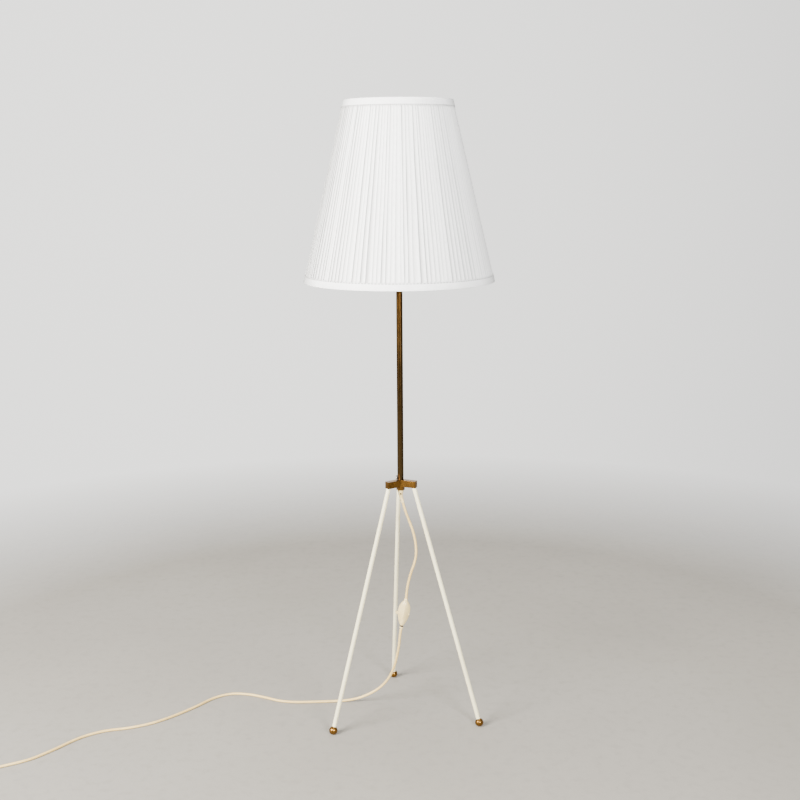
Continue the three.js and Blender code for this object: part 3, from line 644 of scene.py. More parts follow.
def satin_trim_look():
    """Satin bias tape, with its threads on the slant, darker patches painted as crease shade, a dashed dark
    line along its free edge painted as the shadow of the gap under it and drawn as stitches, and painted
    shade where it is seen edge on.
    """
    look = Look(
        "satin trim",
        "satin_trim",
        Sheen_Weight=0.15,
        Sheen_Roughness=0.35,
        Specular_IOR_Level=0.4,
        Anisotropic=0.4,
    )
    cloth = look.mottled((0.83, 0.825, 0.81), (0.76, 0.75, 0.735), 40, 3)
    # darker patches: painted shade of creases
    crease_shade = look.between(look.grain(260, 5, (1, 1, 0.35)), 0, 0.45, 0.5, 0.75)
    colour = look.mixed(crease_shade, cloth, (0.70, 0.69, 0.67))
    # dark dashes along the free edges: painted shadow of the gap under each band
    edge_shade_dashes = look.combined("MAXIMUM", look.shade_dash_line(SHADE_TOP, -1), look.shade_dash_line(SHADE_BOTTOM, 1))
    dash_shaded = look.mixed(edge_shade_dashes, colour, (0.20, 0.195, 0.185))
    # painted shade where the band is seen edge on
    colour = look.mixed(look.edge_on_shade(1), dash_shaded, (0.24, 0.24, 0.235))
    weave = look.combined("ADD", look.threads(1500, "DIAGONAL", 2.0), look.grain(500, 4, (1, 1, 0.3)))
    return look.done(colour, look.between(look.grain(200), 0.42, 0.62), weave, 0.00012)


def tie_look():
    """The paper skin of a wire tie."""
    look = Look("tie", "cord_pvc")
    paper = look.mottled((0.62, 0.60, 0.54), (0.52, 0.50, 0.44), 200)
    return look.done(paper, look.between(look.grain(500), 0.6, 0.8), look.grain(2200, 4), 0.00006)


def floor_look():
    """Pale floor with a faint mottle, which fades out into the room far from the lamp."""
    look = Look("floor", None, Specular_IOR_Level=0.25)
    pale = look.mottled((0.225, 0.209, 0.181), (0.205, 0.19, 0.163), 1.6, 5)
    colour = look.mixed(look.between(look.grain(40, 8), 0, 0.5, 0.5, 0.75), pale, (0.175, 0.161, 0.138))
    distance = look.node("VectorMath", operation="LENGTH")
    look.wire(look.place, distance.inputs[0])
    look.wire(look.between(distance.outputs["Value"], 1, 0, 1.35, 2.6), look.shader.inputs["Alpha"])
    return look.done(colour, look.between(look.grain(8, 5), 0.6, 0.8), look.grain(120, 8), 0.0004)


# ---- the cord and what is on it

RELIEF_ROOT = Vector((0, 0, GRIP_BODY_BOTTOM))
RELIEF_DIRECTION = Vector((math.sin(RELIEF_TILT), 0, -math.cos(RELIEF_TILT)))
CORD_EXIT = RELIEF_ROOT + RELIEF_DIRECTION * RELIEF_LENGTH
INSIDE = 0.003                       # how far the cord's ends run on into the pieces that hold them
FLOOR_LINE = 0.0031

UPPER_ROUTE = [
    (0.0078, 0, 0.518),
    (0.0125, 0.0006, 0.5025),
    (0.0203, 0.0018, 0.481),
    (0.0287, 0.003, 0.456),
    (0.0344, 0.004, 0.428),
    (0.0359, 0.005, 0.402),
    (0.0324, 0.0065, 0.379),
    (0.0225, 0.0085, 0.348),
    (0.015, 0.0106, 0.316),
    (0.0126, 0.0117, 0.297),
]

LOWER_ROUTE = [
    (-0.003, 0.0126, 0.197),
    (-0.0077, 0.017, 0.156),
    (-0.015, 0.0236, 0.119),
    (-0.024, 0.031, 0.0885),
    (-0.034, 0.0365, 0.068),
    (-0.047, 0.0413, 0.050),
    (-0.064, 0.045, 0.0345),
    (-0.085, 0.048, 0.0215),
    (-0.106, 0.0505, 0.012),
    (-0.126, 0.052, 0.0066),
    (-0.147, 0.0524, 0.0038),
    (-0.170, 0.0515, FLOOR_LINE),
    (-0.218, 0.0485, FLOOR_LINE),
    (-0.268, 0.048, FLOOR_LINE),
    (-0.305, 0.056, FLOOR_LINE),
    (-0.342, 0.075, FLOOR_LINE),
    (-0.385, 0.093, FLOOR_LINE),
    (-0.428, 0.097, FLOOR_LINE),
    (-0.467, 0.076, FLOOR_LINE),
    (-0.509, 0.024, FLOOR_LINE),
    (-0.553, -0.024, FLOOR_LINE),
    (-0.598, -0.062, FLOOR_LINE),
    (-0.648, -0.086, FLOOR_LINE),
    (-0.702, -0.101, FLOOR_LINE),
    (-0.750, -0.133, FLOOR_LINE),
    (-0.798, -0.193, FLOOR_LINE),
    (-0.840, -0.238, FLOOR_LINE),
    (-0.894, -0.269, FLOOR_LINE),
    (-0.92207, -0.28271, FLOOR_LINE),
]


def switch_end(direction, beyond):
    return SWITCH_FRAME @ Vector((0, 0, direction * (SWITCH_COLLAR_END + beyond)))


def coil_turns():
    """Two layers, wound inward on the floor and outward on top of that, clockwise seen from above."""
    first_angle = -64.2
    sweep = 1195.8                   # degrees, a little over three turns
    climb = 36                       # degrees to each side of the middle in which the cord climbs
    steps = 84
    turns = []
    for step in range(steps + 1):
        turned = sweep * step / steps
        middle = turned - sweep / 2
        radius = COIL_NARROW + (COIL_WIDE - COIL_NARROW) * abs(middle) / (sweep / 2)
        share = min(max(middle / climb / 2 + 0.5, 0), 1)
        height = FLOOR_LINE + 2 * CORD_RADIUS * share * share * (3 - 2 * share)
        turns.append(COIL_CENTRE + polar(radius, first_angle - turned, height))
    return turns


def make_cords(look):
    start = CORD_EXIT - RELIEF_DIRECTION * INSIDE
    line = smooth_line([start, *UPPER_ROUTE, switch_end(1, -INSIDE)])
    upper = cord_curve("cord_upper_look", line, look, ["cord_upper"])
    plug_mouth = PLUG_START + Vector((0, INSIDE, 0))
    route = [switch_end(-1, -INSIDE), *LOWER_ROUTE, *coil_turns(), PLUG_START, plug_mouth]
    lower = cord_curve("cord_lower_look", smooth_line(route, 4), look, ["cord_lower", "cord_coil"])
    return upper, lower


# ---- hub, legs and feet

def hub_outline():
    """Three straight arms, with small rounds at their corners and where two arms meet."""
    inner_reach = HUB_ARM_HALF_WIDTH / math.sin(math.radians(60))
    corners = []
    for degrees in LEG_ANGLES.values():
        tip = polar(HUB_ARM_REACH, degrees)
        across = polar(HUB_ARM_HALF_WIDTH, degrees + 90)
        corners += [tip - across, tip + across, polar(inner_reach, degrees + 60)]
    return [point.xy for point in rounded(corners, 0.0014, closed=True)]


def make_hub(brass):
    hub = stand_in("hub_plate", [prism(hub_outline(), HUB_BOTTOM, HUB_TOP)], brass)
    soften(hub, 0.0012, 4)


def leg_frame(degrees):
    """The matrix and the length of a leg whose +Z runs from its foot ball's centre up to the hub."""
    foot = polar(FOOT_CIRCLE_RADIUS, degrees, FOOT_CENTRE_HEIGHT)
    top = polar(LEG_TOP_RADIUS, degrees, HUB_BOTTOM)
    return along(foot, top - foot), (top - foot).length


def make_leg(side, degrees, lacquer, brass):
    matrix, length = leg_frame(degrees)
    start = 0.0093
    raw = sleeve(LEG_RADIUS - LEG_WALL, LEG_RADIUS, start, length + 0.01, 0.0004, 40)
    points, faces = placed(raw, matrix)
    up_leg = matrix.to_3x3() @ Vector((0, 0, 1))
    mitred = [p - up_leg * max(0, (p.z - HUB_BOTTOM) / up_leg.z) for p in points]
    stand_in(f"leg_{side}", [(mitred, faces)], lacquer)

    neck = math.asin((LEG_RADIUS - LEG_WALL) / FOOT_BALL_RADIUS)
    steps = 40
    profile = []
    for step in range(steps + 1):
        angle = 0.01 + (math.pi - neck - 0.01) * step / steps
        profile.append((FOOT_BALL_RADIUS * math.sin(angle), -FOOT_BALL_RADIUS * math.cos(angle)))
    profile.append((LEG_RADIUS - LEG_WALL, start + 0.012))
    points, faces = placed(lathe(profile), matrix)
    grounded = [Vector((p.x, p.y, max(p.z, 0))) for p in points]
    stand_in(f"foot_ball_{side}", [(grounded, faces)], brass)


# ---- pole and its fixings

def make_screw(node, matrix, sizes, finish):
    """A slotted screw with its head from z = 0 up. Sizes are head radius, head height, slot width, shank
    radius and shank length."""
    head_radius, head_height, slot_width, shank_radius, shank_length = sizes
    corners = [
        (0.0001, -shank_length),
        (shank_radius, -shank_length),
        (shank_radius, 0),
        (head_radius, 0),
        (head_radius, head_height * 0.82),
        (0.0001, head_height),
    ]
    half = slot_width / 2
    reach = head_radius * 1.2
    floor = head_height * 0.5
    slot_tool = prism(rectangle(half, reach), floor, head_height * 1.5)
    turned = lathe(rounded(corners, head_height * 0.2), 40)
    screw = stand_in(node, [placed(turned, matrix)], finish)
    return carve(screw, [placed(slot_tool, matrix)])


def make_pole(pole_brass, brass, steel):
    tube_part = sleeve(POLE_BORE, POLE_RADIUS, HUB_TOP, POLE_TOP, 0.0003, 96)
    stand_in("pole_tube", [tube_part], pole_brass)
    screw_frame = along((-POLE_RADIUS, 0, SET_SCREW_HEIGHT), (-1, 0, 0)) @ Matrix.Rotation(0.6, 4, "Z")
    sizes = (0.004, 0.0031, 0.001, 0.002, 0.003)
    make_screw("pole_set_screw", screw_frame, sizes, steel)

    washer_top = HUB_BOTTOM - GAP / 2
    washer = sleeve(0.0053, 0.0086, washer_top - 0.0009, washer_top, 0.0002)
    stand_in("hub_lock_washer", [washer], brass)
    corners = [polar(0.017 / math.sqrt(3), 60 * side).xy for side in range(6)]
    nut_top = washer_top - 0.0009
    nut = stand_in("hub_lock_nut", [prism(corners, GRIP_TOP, nut_top)], brass)
    soften(nut, 0.0006)

    bushing = [(0.0062, POLE_TOP - 0.018), (0.0062, POLE_TOP), (0.0078, POLE_TOP), (0.0078, HOLDER_BASE)]
    inner = [(0.0053, HOLDER_BASE), (0.0053, POLE_TOP - 0.018)]
    bushing_part = lathe(rounded(bushing + inner, 0.0003, closed=True), hole=True)
    stand_in("pole_top_bushing", [bushing_part], brass)


# ---- cord grip

def make_cord_grip(plastic, shade_dark_steel):
    corners = [
        (0.0001, GRIP_BODY_BOTTOM),
        (0.0053, GRIP_BODY_BOTTOM),
        (0.0053, GRIP_COLLAR_BOTTOM),
        (0.0068, GRIP_COLLAR_BOTTOM),
        (0.0068, GRIP_TOP),
        (0.0001, GRIP_TOP),
    ]
    body = lathe(rounded(corners, 0.0006))
    taper = [(0.0043, -0.002), (0.0042, 0.005)]
    for groove in range(3):
        height = 0.007 + 0.0035 * groove
        radius = 0.0041 - 0.0001 * groove
        taper += [(radius, height), (radius - 0.0003, height + 0.0003)]
        taper += [(radius - 0.0003, height + 0.0011), (radius - 0.0001, height + 0.0014)]
    taper += [(0.0038, RELIEF_LENGTH - 0.0004), (0.0035, RELIEF_LENGTH)]
    relief = placed(lathe(taper), along(RELIEF_ROOT, RELIEF_DIRECTION))
    grip = stand_in("cord_grip", [body, relief], plastic)
    screw_height = (GRIP_BODY_BOTTOM + GRIP_COLLAR_BOTTOM) / 2
    outwards = along((0, -0.0038, screw_height), (0, -1, 0))
    carve(grip, [placed(lathe([(0.0001, 0), (0.0021, 0), (0.0021, 0.004), (0.0001, 0.004)], 32), outwards)])
    frame = outwards @ Matrix.Rotation(0.5, 4, "Z")
    sizes = (0.0018, 0.0009, 0.0006, 0.0012, 0.0006)
    # the screw's near-black finish is painted shade of its hole
    make_screw("cord_grip_screw", frame, sizes, shade_dark_steel)


# ---- lampholder and bulb

def threaded(part, radius, bottom, top, pitch, depth):
    """A right-hand thread pressed into a turned part's outside wall."""
    points, faces = part
    cut_in = []
    for point in points:
        across = math.hypot(point.x, point.y)
        if abs(across - radius) < 0.0001 and bottom <= point.z <= top:
            turn = math.atan2(point.y, point.x) / (2 * math.pi)
            wave = math.cos(2 * math.pi * (point.z / pitch - turn))
            fade = min(1, (point.z - bottom) / pitch, (top - point.z) / pitch)
            share = 1 - depth * fade * (1 - wave) / 2 / across
            point = Vector((point.x * share, point.y * share, point.z))
        cut_in.append(point)
    return cut_in, faces


def wall(radius, bottom, top, step=0.0004):
    """Profile points up a wall that a thread is cut in."""
    count = round((top - bottom) / step)
    return [(radius, bottom + (top - bottom) * index / count) for index in range(count + 1)]


def make_holder(bakelite):
    base = HOLDER_BASE
    cap = [
        (0.0053, base),
        (0.008, base),
        (0.0086, base + 0.0055),
        (0.015, base + 0.0105),
        (HOLDER_RADIUS, base + 0.017),
        (HOLDER_RADIUS, base + 0.029),
        (0.017, base + 0.029),
        (0.017, base + 0.0185),
        (0.0135, base + 0.0125),
        (0.0085, base + 0.0088),
        (0.0053, base + 0.0088),
    ]
    part = lathe(rounded(cap, 0.0012, closed=True), 96, hole=True)
    stand_in("holder_cap", [part], bakelite)

    bottom = base + 0.0292
    top = base + 0.067
    thread_start = bottom + 0.006
    foot = [(0.0207, bottom), (0.021, bottom + 0.0004), (0.021, bottom + 0.0038)]
    outside = [*foot, (HOLDER_RADIUS, bottom + 0.0055), *wall(HOLDER_RADIUS, thread_start, top - 0.0008)]
    inside = [(0.0187, top), (0.0175, top), (0.0172, top - 0.0004), (0.0172, bottom)]
    part = lathe(outside + inside, 72, hole=True)
    part = threaded(part, HOLDER_RADIUS, thread_start, top - 0.0008, 0.0025, 0.0007)
    stand_in("holder_sleeve", [part], bakelite)


def make_ring_nut(name, bottom, flange_up, bakelite):
    """A ring nut with finger grips round its rim."""
    bore = HOLDER_RADIUS + GAP / 2
    top = bottom + 0.007
    middle = (bottom + top) / 2
    lower, upper = (0.0235, 0.0285) if flange_up else (0.0285, 0.0235)
    outside = [(lower, bottom), (lower, middle), (upper, middle), (upper, top)]
    profile = rounded([(bore, bottom), *outside, (bore, top)], 0.0008, closed=True)
    points, faces = lathe(profile, 144, hole=True)
    gripped = []
    for point in points:
        across = math.hypot(point.x, point.y)
        if across > 0.026:
            dent = max(0, math.cos(24 * math.atan2(point.y, point.x))) ** 2 * 0.0007
            point = Vector((point.x, point.y, 0)) * (1 - dent / across) + Vector((0, 0, point.z))
        gripped.append(point)
    stand_in(name, [(gripped, faces)], bakelite)


def make_bulb(glass, nickel):
    cap_top = BULB_TIP + 0.0264
    shell_top = cap_top - 0.0018
    thread_start = BULB_TIP + 0.0066
    thread_radius = 0.0131
    shoulder = [(0.0065, BULB_TIP + 0.0042), (0.011, BULB_TIP + 0.0042), (0.0128, BULB_TIP + 0.0054)]
    outside = [*shoulder, *wall(thread_radius, thread_start, shell_top), (0.0139, cap_top), (0.0134, cap_top)]
    inside = [
        (0.0123, shell_top),
        (0.0123, BULB_TIP + 0.007),
        (0.0106, BULB_TIP + 0.005),
        (0.0065, BULB_TIP + 0.005),
    ]
    part = lathe(outside + inside, 72, hole=True)
    part = threaded(part, thread_radius, thread_start, shell_top, 0.00363, 0.0009)
    stand_in("bulb_screw_cap", [part], nickel, "bulb")

    neck = cap_top - 0.0006
    radius = 0.030
    centre = BULB_TIP + 0.105 - radius
    shape = [
        (0.0128, neck),
        (0.0142, neck + 0.004),
        (0.0155, neck + 0.010),
        (0.0185, neck + 0.0185),
        (0.0236, neck + 0.0285),
    ]
    for angle in (-0.42, -0.15, 0.15, 0.45, 0.75, 1.05, 1.3):
        shape.append((radius * math.cos(angle), centre + radius * math.sin(angle)))
    shape.append((0.0002, centre + radius))
    profile = [(max(point.x, 0.0002), point.z) for point in smooth_line([(r, 0, z) for r, z in shape], 5)]
    stand_in("bulb_glass", [lathe(profile, 96)], glass, "bulb")


# ---- shade

def cone_radius(height):
    share = (SHADE_TOP - height) / (SHADE_TOP - SHADE_BOTTOM)
    return SHADE_TOP_RADIUS + (SHADE_BOTTOM_RADIUS - SHADE_TOP_RADIUS) * share


COVER_BOTTOM = SHADE_BOTTOM + 0.0009
COVER_TOP = SHADE_TOP - 0.0009
PLEATS = 124
PLEAT_CUT = 0.0126                   # flat width of cloth in a pleat: its face and its hidden fold


def pleat_rings():
    """Knife pleats: each face runs on over the next pleat, and the cloth turns back under it. Towards the
    shade's narrow top the same cloth has less room, so the hidden folds grow."""
    chance = random.Random(7)
    edges = []
    for index in range(PLEATS):
        angle = index / PLEATS * 2 * math.pi
        drift = 0.6 * noise.noise((6 * math.cos(angle), 6 * math.sin(angle), 2))
        edges.append(angle + (drift + chance.uniform(-0.2, 0.2)) / PLEATS * 2 * math.pi)
    edges.append(edges[0] + 2 * math.pi)
    swell = [chance.uniform(0.5, 1.2) for _ in range(PLEATS)]
    rows = 36
    rings = []
    for row in range(rows + 1):
        share = row / rows
        height = COVER_BOTTOM + (COVER_TOP - COVER_BOTTOM) * share
        outside = cone_radius(height) - 0.0009
        held = min(1, 0.7 + min(share, 1 - share) * 12)   # flattened where the trim bands hold it
        ring = []
        for index in range(PLEATS):
            pitch = edges[index + 1] - edges[index]
            start = edges[index] + 0.12 * pitch * noise.noise((index * 3.7, share * 2.5, 0))
            width = pitch * outside
            fold = min(max((PLEAT_CUT - width) / 2, 0.0006), 0.48 * width)
            tip = (width + fold * (1 + 0.25 * noise.noise((index * 1.9, share * 3.0, 5)))) / outside
            under = (width + 0.12 * fold) / outside
            deep = 0.0016 * held * swell[index]
            for angle, depth in (
                (0, deep),
                (0.18 * tip, deep * 0.8),
                (0.45 * tip, deep * 0.45),
                (0.75 * tip, deep * 0.17),
                (0.95 * tip, deep * 0.03),
                (tip, deep * 0.1),
                (tip - 0.0002 / outside, deep * 0.3),
                ((tip + under) / 2, deep * 0.62),
                (under, deep * 0.95),
            ):
                ring.append(around(outside - depth, start + angle, height))
        rings.append(ring)
    return rings


def make_cover(fabric):
    part = skin(pleat_rings(), capped=False)
    return stand_in("shade_cover", [part], fabric, "shade", 50)


def make_lining(fabric):
    """Plain cloth inside the ribs, drawn in a little between them."""
    bottom = SHADE_BOTTOM + 0.0045
    top = SHADE_TOP - 0.0045
    rows = 20
    sides = 180
    rings = []
    for row in range(rows + 1):
        height = bottom + (top - bottom) * row / rows
        ring = []
        for side in range(sides):
            angle = 2 * math.pi * side / sides
            slack = 0.0006 * abs(math.sin(3 * (angle - math.radians(30)))) * math.sin(math.pi * row / rows)
            crease = 0.0004 * noise.noise((angle * 9, row * 0.15, 3))
            radius = cone_radius(height) - 0.006 - slack - crease
            ring.append(around(radius, angle, height))
        rings.append(ring)
    part = skin(rings, capped=False)
    return stand_in("shade_lining", [part], fabric, "shade")


def make_trim(name, edge, direction, satin):
    """A band folded over the shade's edge. Direction is 1 at the top edge and -1 at the bottom edge."""
    inner_leg = (0.0066, 0.0072)
    fold = TRIM_THICKNESS
    sides = 480
    rings = []
    for side in range(sides):
        angle = 2 * math.pi * side / sides
        pucker = 0.00014 * (1 + math.sin(side * math.pi / 2.5 + 2 * noise.noise((side * 0.05, edge, 1))))
        sag = 0.0004 * noise.noise((math.cos(angle) * 6, math.sin(angle) * 6, edge))
        free = TRIM_WIDTH + sag
        section = [
            (-pucker, free),
            (-0.0001, free * 0.6),
            (0, 0.0016),
            (0.0005, 0.0004),
            (0.0018, 0),
            (inner_leg[1] - 0.0016, 0),
            (inner_leg[1] - 0.0003, 0.0006),
            (inner_leg[1], 0.0018),
            (inner_leg[1] + pucker, TRIM_TURN_IN + sag),
            (inner_leg[0], TRIM_TURN_IN + sag),
            (inner_leg[0], 0.0022),
            (inner_leg[0] - 0.0008, fold),
            (0.0022, fold),
            (fold + 0.0003, 0.0012),
            (fold, 0.0022),
            (fold, free * 0.6),
            (fold - pucker, free),
        ]
        ring = []
        for inset, down in section if direction > 0 else reversed(section):
            height = edge - direction * down
            radius = cone_radius(height) - inset
            ring.append(around(radius, angle, height))
        rings.append(ring)
    part = skin(rings, closed=True)
    return stand_in(name, [part], satin, "shade", 60)


def make_shade_frame(wire):
    circle = [2 * math.pi * side / 16 for side in range(16)]
    ring_top = SHADE_TOP - 0.0024
    ring_bottom = SHADE_BOTTOM + 0.0024
    for name, height in (("shade_top_ring", ring_top), ("shade_bottom_ring", ring_bottom)):
        centre = cone_radius(height) - FRAME_INSET
        section = [(centre + 0.0015 * math.cos(a), height + 0.0015 * math.sin(a)) for a in circle]
        stand_in(name, [lathe(section, 180, hole=True)], wire, "shade")

    spokes = []
    for index in range(6):
        angle = 30 + 60 * index
        heights = (ring_bottom + 0.0014, CARRIER_HEIGHT, ring_top - 0.0014)
        line = [polar(cone_radius(z) - RIB_INSET, angle, z) for z in heights]
        stand_in(f"shade_rib_{index + 1}", [tube(line, 0.0012)], wire, "shade")
        if index % 2 == 0:
            reach = cone_radius(CARRIER_HEIGHT) - RIB_INSET - 0.0012
            line = [polar(radius, angle, CARRIER_HEIGHT) for radius in (0.024, reach)]
            spokes.append(tube(line, 0.0014, 0.001))
    plate = sleeve(0.0202, 0.0265, CARRIER_HEIGHT - 0.001, CARRIER_HEIGHT + 0.001, 0.0003, 96)
    stand_in("shade_carrier", [plate, *spokes], wire, "shade")


# ---- in-line switch

def round_section(width, depth, fullness, side):
    """Half a section of the switch: side -1 for its front half and 1 for its back half. A fullness under 2
    draws it to a soft ridge."""
    points = []
    steps = 28
    first = math.pi if side < 0 else 0
    for step in range(steps + 1):
        angle = first + math.pi * step / steps
        c, s = math.cos(angle), math.sin(angle)
        x = width * math.copysign(abs(c) ** (2 / fullness), c)
        y = depth * abs(s) ** (2 / fullness)
        points.append((x, side * (GAP / 2 + y)))
    return points


def make_shell(name, side, ridge, pocket_depth, plastic):
    """Half of the switch's body, with the push bar's way through it and the pocket for its contacts."""
    bead = (
        (0, 0.0040),
        (0.0004, 0.0046),
        (0.0012, 0.0049),
        (0.0028, 0.0049),
        (0.0036, 0.0045),
        (0.0039, 0.0038),
    )
    stations = [(-SWITCH_COLLAR_END + up, radius, radius, 2) for up, radius in bead]
    stations.append((-SWITCH_HALF_LENGTH - 0.0004, 0.0038, 0.0038, 2))
    steps = 36
    for step in range(steps, -1, -1):
        t = step / steps
        width = 0.0066 * (1 - t) ** 3 + 0.0046 * t ** 3 + 3 * t * (1 - t) * (0.018 * (1 - t) + 0.017 * t)
        height = 0.030 * ((1 - t) ** 3 - t ** 3) + 3 * t * (1 - t) * (0.018 * (1 - t) - 0.008 * t)
        swell = math.sin(math.pi * t) ** 0.6
        stations.append((height, width, 0.0047 + 0.0043 * swell, 2 + (ridge - 2) * swell))
    stations += [(0.0312, 0.0053, 0.0046, 2), (0.0328, 0.0046, 0.0044, 2)]
    stations += [(SWITCH_COLLAR_END - 0.0005, 0.004, 0.004, 2), (SWITCH_COLLAR_END, 0.0036, 0.0036, 2)]
    rings = [[(x, y, z) for x, y in round_section(w, d, full, side)] for z, w, d, full in stations]
    shell = stand_in(name, [placed(skin(rings), SWITCH_FRAME)], plastic)
    for x, y, z in ((0.03, 0.0033, 0.0035), (0.0075, pocket_depth, 0.012)):
        carve(shell, [placed(prism(rectangle(x, y), -z, z), SWITCH_FRAME)])
    return shell


def make_push_bar(plastic):
    half_depth = 0.003
    off_centre = -0.00325
    corners = [(x + off_centre, y) for x, y in rectangle(0.01725, 0.0032)]
    outline = [(p.x, p.y) for p in rounded(corners, 0.0026, closed=True)]
    upright = SWITCH_FRAME @ Matrix.Rotation(math.pi / 2, 4, "X")
    part = placed(prism(outline, -half_depth, half_depth), upright)
    bar = stand_in("switch_push_bar", [part], plastic, "push_bar")
    return soften(bar, 0.0009)


def make_switch(plastic, steel):
    front = make_shell("switch_shell_front", -1, 1.25, 0.0042, plastic)
    back = make_shell("switch_shell_back", 1, 2.3, 0.0055, plastic)
    screws = []
    for number, x, seat, z in ((1, 0.0066, 0.0050, -0.0155), (2, -0.0066, 0.0060, 0.0155)):
        backwards = SWITCH_FRAME @ along((x, 0, z), (0, 1, 0))
        carve(back, [placed(lathe(wall(0.0027, seat, 0.012, 0.002), 32), backwards)])
        frame_here = SWITCH_FRAME @ along((x, seat, z), (0, 1, 0)) @ Matrix.Rotation(0.9 * number, 4, "Z")
        sizes = (0.0024, 0.0015, 0.0007, 0.0014, 0.002)
        screws.append(make_screw(f"switch_screw_{number}", frame_here, sizes, steel))
    return [front, back, make_push_bar(plastic), *screws]


# ---- plug and coil tie

def make_plug(plastic, nickel):
    half_thick = PLUG_START.z
    relief_end = 0.024
    face = relief_end + 0.036
    shoulder = 0.0176
    corners = [
        (-0.0065, relief_end),
        (0.0065, relief_end),
        (shoulder - 0.002, relief_end + 0.0095),
        (shoulder, relief_end + 0.015),
        (shoulder, face - 0.004),
        (shoulder - 0.004, face),
        (-shoulder + 0.004, face),
        (-shoulder, face - 0.004),
        (-shoulder, relief_end + 0.015),
        (-shoulder + 0.002, relief_end + 0.0095),
    ]
    outline = [(p.x, p.y) for p in rounded(corners, 0.003, closed=True)]
    matrix = Matrix.Translation(PLUG_START)
    body = stand_in("plug_body", [placed(prism(outline, -half_thick, half_thick), matrix)], plastic)
    soften(body, 0.0018, 4)

    taper = [(0.0036, 0), (0.0039, 0.0004)]
    for groove in range(5):
        start = 0.0035 + 0.004 * groove
        radius = 0.0039 + 0.0019 * start / relief_end
        taper += [(radius, start), (radius - 0.0006, start + 0.0004)]
        taper += [(radius - 0.0006, start + 0.0014), (radius, start + 0.0018)]
    taper += [(0.0058, relief_end), (0.0058, relief_end + 0.003)]
    lying = matrix @ Matrix.Rotation(-math.pi / 2, 4, "X")
    relief = piece("plug_relief_look", [placed(lathe(taper, 48), lying)], plastic)

    pins = []
    for name, side in (("left", -1), ("right", 1)):
        root = face - 0.004
        tip = face + 0.019
        profile = rounded([(0.0001, root), (0.002, root), (0.002, tip), (0.0001, tip)], 0.0012)
        frame_here = lying @ Matrix.Translation((side * 0.0093, 0, 0))
        pin = stand_in(f"plug_pin_{name}", [placed(lathe(profile, 32), frame_here)], nickel)
        pins.append(pin)
    return [body, relief, *pins]


def make_coil_tie(paper):
    """A flat wire tie round the bundle of turns, with its two ends twisted together on top."""
    corners = [(0.0237, 0.0002), (0.0403, 0.0002), (0.0403, 0.0123), (0.0237, 0.0123)]
    half_width = 0.0022
    thick = 0.0005
    outline = rounded(corners, 0.004, closed=True)
    middle = Vector((0.032, 0.0062))
    rings = []
    for point in outline:
        inward = (middle - point).normalized() * thick
        inner = point + inward
        across = ((point, -half_width), (point, half_width), (inner, half_width), (inner, -half_width))
        rings.append([(x, y, z) for (x, z), y in across])
    loop = skin(rings, closed=True)
    tails = []
    for phase in (0, math.pi):
        line = []
        for step in range(25):
            rise = step / 24
            angle = phase + 3 * 2 * math.pi * rise
            spread = 0.0007 + 0.0022 * max(0, rise - 0.7)
            centre = Vector((0.033 + 0.013 * rise, 0, 0.0126 + 0.0014 * math.sin(math.pi * rise)))
            line.append(centre + Vector((0, spread * math.cos(angle), 0.35 * spread * math.sin(angle))))
        tails.append(tube(line, 0.0007, sides=8))
    matrix = Matrix.Translation(COIL_CENTRE) @ Matrix.Rotation(math.radians(40), 4, "Z")
    return piece("coil_tie_look", [placed(part, matrix) for part in (loop, *tails)], paper)


# ---- CAD pieces shown as they are

def dress(finish, nodes):
    for name in nodes:
        node = frame["nodes"][name]
        node.data.materials.clear()
        node.data.materials.append(finish.material)
        node.data.shade_smooth()
        node.data.set_sharp_from_angle(angle=math.radians(35))
        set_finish(node, finish.slot)


# ---- floor and light

def make_floor(finish):
    radius = 3
    rim = [polar(radius, 360 * side / 96) for side in range(96)]
    mesh = bpy.data.meshes.new("floor")
    mesh.from_pydata(rim, [], [tuple(range(96))])
    mesh.materials.append(finish.material)
    floor = bpy.data.objects.new("floor", mesh)
    bpy.context.scene.collection.objects.link(floor)


def area_light(name, place, aim, size, power, colour):
    data = bpy.data.lights.new(name, "AREA")
    data.shape = "DISK"
    data.size = size
    data.energy = power
    data.color = colour
    light = bpy.data.objects.new(name, data)
    light.location = place
    light.rotation_euler = (Vector(aim) - Vector(place)).to_track_quat("-Z", "Y").to_euler()
    bpy.context.scene.collection.objects.link(light)


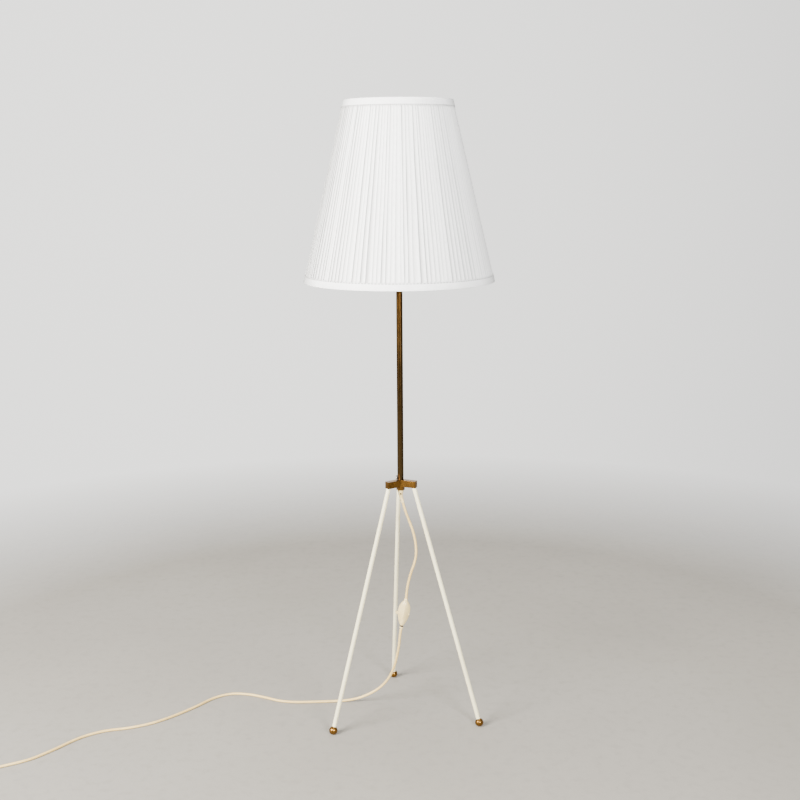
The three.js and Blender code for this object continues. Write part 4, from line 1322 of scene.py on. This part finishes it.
def make_light():
    """Soft daylight from the front left, a weak fill, and a pale wall's light from behind the lamp, brighter
    to the left, with a dimmer room in front of it."""
    area_light("key", (-2.7, -2.3, 2.2), (0, 0, 1.0), 2.2, 860, (1.0, 0.985, 0.95))
    area_light("fill", (1.5, -3.5, 1.7), (0, 0, 0.9), 1.2, 400, (0.98, 0.99, 1.0))
    area_light("top", (0.3, 0.2, 3.8), (0, 0, 0.5), 2.4, 90, (1.0, 1.0, 1.0))
    world = bpy.data.worlds.new("room")
    world.use_nodes = True
    bpy.context.scene.world = world
    nodes = world.node_tree.nodes
    links = world.node_tree.links
    towards_wall = nodes.new("ShaderNodeVectorMath")
    towards_wall.operation = "DOT_PRODUCT"
    towards_wall.inputs[1].default_value = (-0.25, 0.97, 0)
    links.new(nodes.new("ShaderNodeTexCoord").outputs["Generated"], towards_wall.inputs[0])
    share = nodes.new("ShaderNodeMapRange")
    share.inputs["From Min"].default_value = -1
    links.new(towards_wall.outputs["Value"], share.inputs["Value"])
    ramp = nodes.new("ShaderNodeValToRGB")
    links.new(share.outputs["Result"], ramp.inputs["Fac"])
    ramp.color_ramp.elements[0].color = (0.10, 0.098, 0.093, 1)
    ramp.color_ramp.elements[1].color = (0.74, 0.733, 0.705, 1)
    for position, grey in ((0.6, 0.19), (0.91, 0.50)):
        ramp.color_ramp.elements.new(position).color = (grey, grey * 0.99, grey * 0.965, 1)
    links.new(ramp.outputs["Color"], nodes["Background"].inputs["Color"])
    nodes["Background"].inputs["Strength"].default_value = 3.0


# ---- the lamp

make_camera()

brass = brass_look()
steel = steel_look()
nickel = nickel_look()
lacquer = lacquer_look()
cream_plastic = cream_plastic_look()
cord_pvc = cord_look()
bakelite = bakelite_look()
frame_wire = frame_wire_look()
pleated_fabric = pleated_fabric_look()
lining_fabric = lining_fabric_look()
satin = satin_trim_look()

upper_cord, lower_cord = make_cords(cord_pvc)
make_cord_grip(cream_plastic, shade_dark_steel_look())
# the groove at the switch's lower end, painted dark as shade
groove = (SWITCH_FRAME, -0.0341, -SWITCH_HALF_LENGTH)
switch_pieces = make_switch(cream_plastic_look("switch plastic", groove), steel)
plug_pieces = make_plug(cream_plastic, nickel)
tie = make_coil_tie(tie_look())

make_hub(brass)
for side, degrees in LEG_ANGLES.items():
    make_leg(side, degrees, lacquer, brass)
make_pole(pole_brass_look(), brass, steel)
make_holder(bakelite)
make_ring_nut("shade_ring_nut_lower", CARRIER_HEIGHT - 0.0011 - 0.007, True, bakelite)
make_ring_nut("shade_ring_nut_upper", CARRIER_HEIGHT + 0.0011, False, bakelite)
make_bulb(opal_glass_look(), nickel)

cover = make_cover(pleated_fabric)
lining = make_lining(lining_fabric)
top_trim = make_trim("trim_band_top", SHADE_TOP, 1, satin)
bottom_trim = make_trim("trim_band_bottom", SHADE_BOTTOM, -1, satin)
make_shade_frame(frame_wire)

dress(brass, ["hub_spigot", "holder_centre_contact", "bulb_contact_tip"])
dress(brass, ["terminal_screw_live", "terminal_screw_neutral"])
dress(brass, ["switch_contact_bridge", "switch_contact_upper", "switch_contact_lower"])
dress(steel, ["holder_nipple", *[f"leg_stud_{side}" for side in LEG_ANGLES]])
dress(nickel, ["holder_screw_shell"])
dress(bakelite, ["bulb_insulator"])
dress(ceramic_look(), ["holder_insert"])
dress(cord_pvc, ["inner_flex"])

make_floor(floor_look())
make_light()
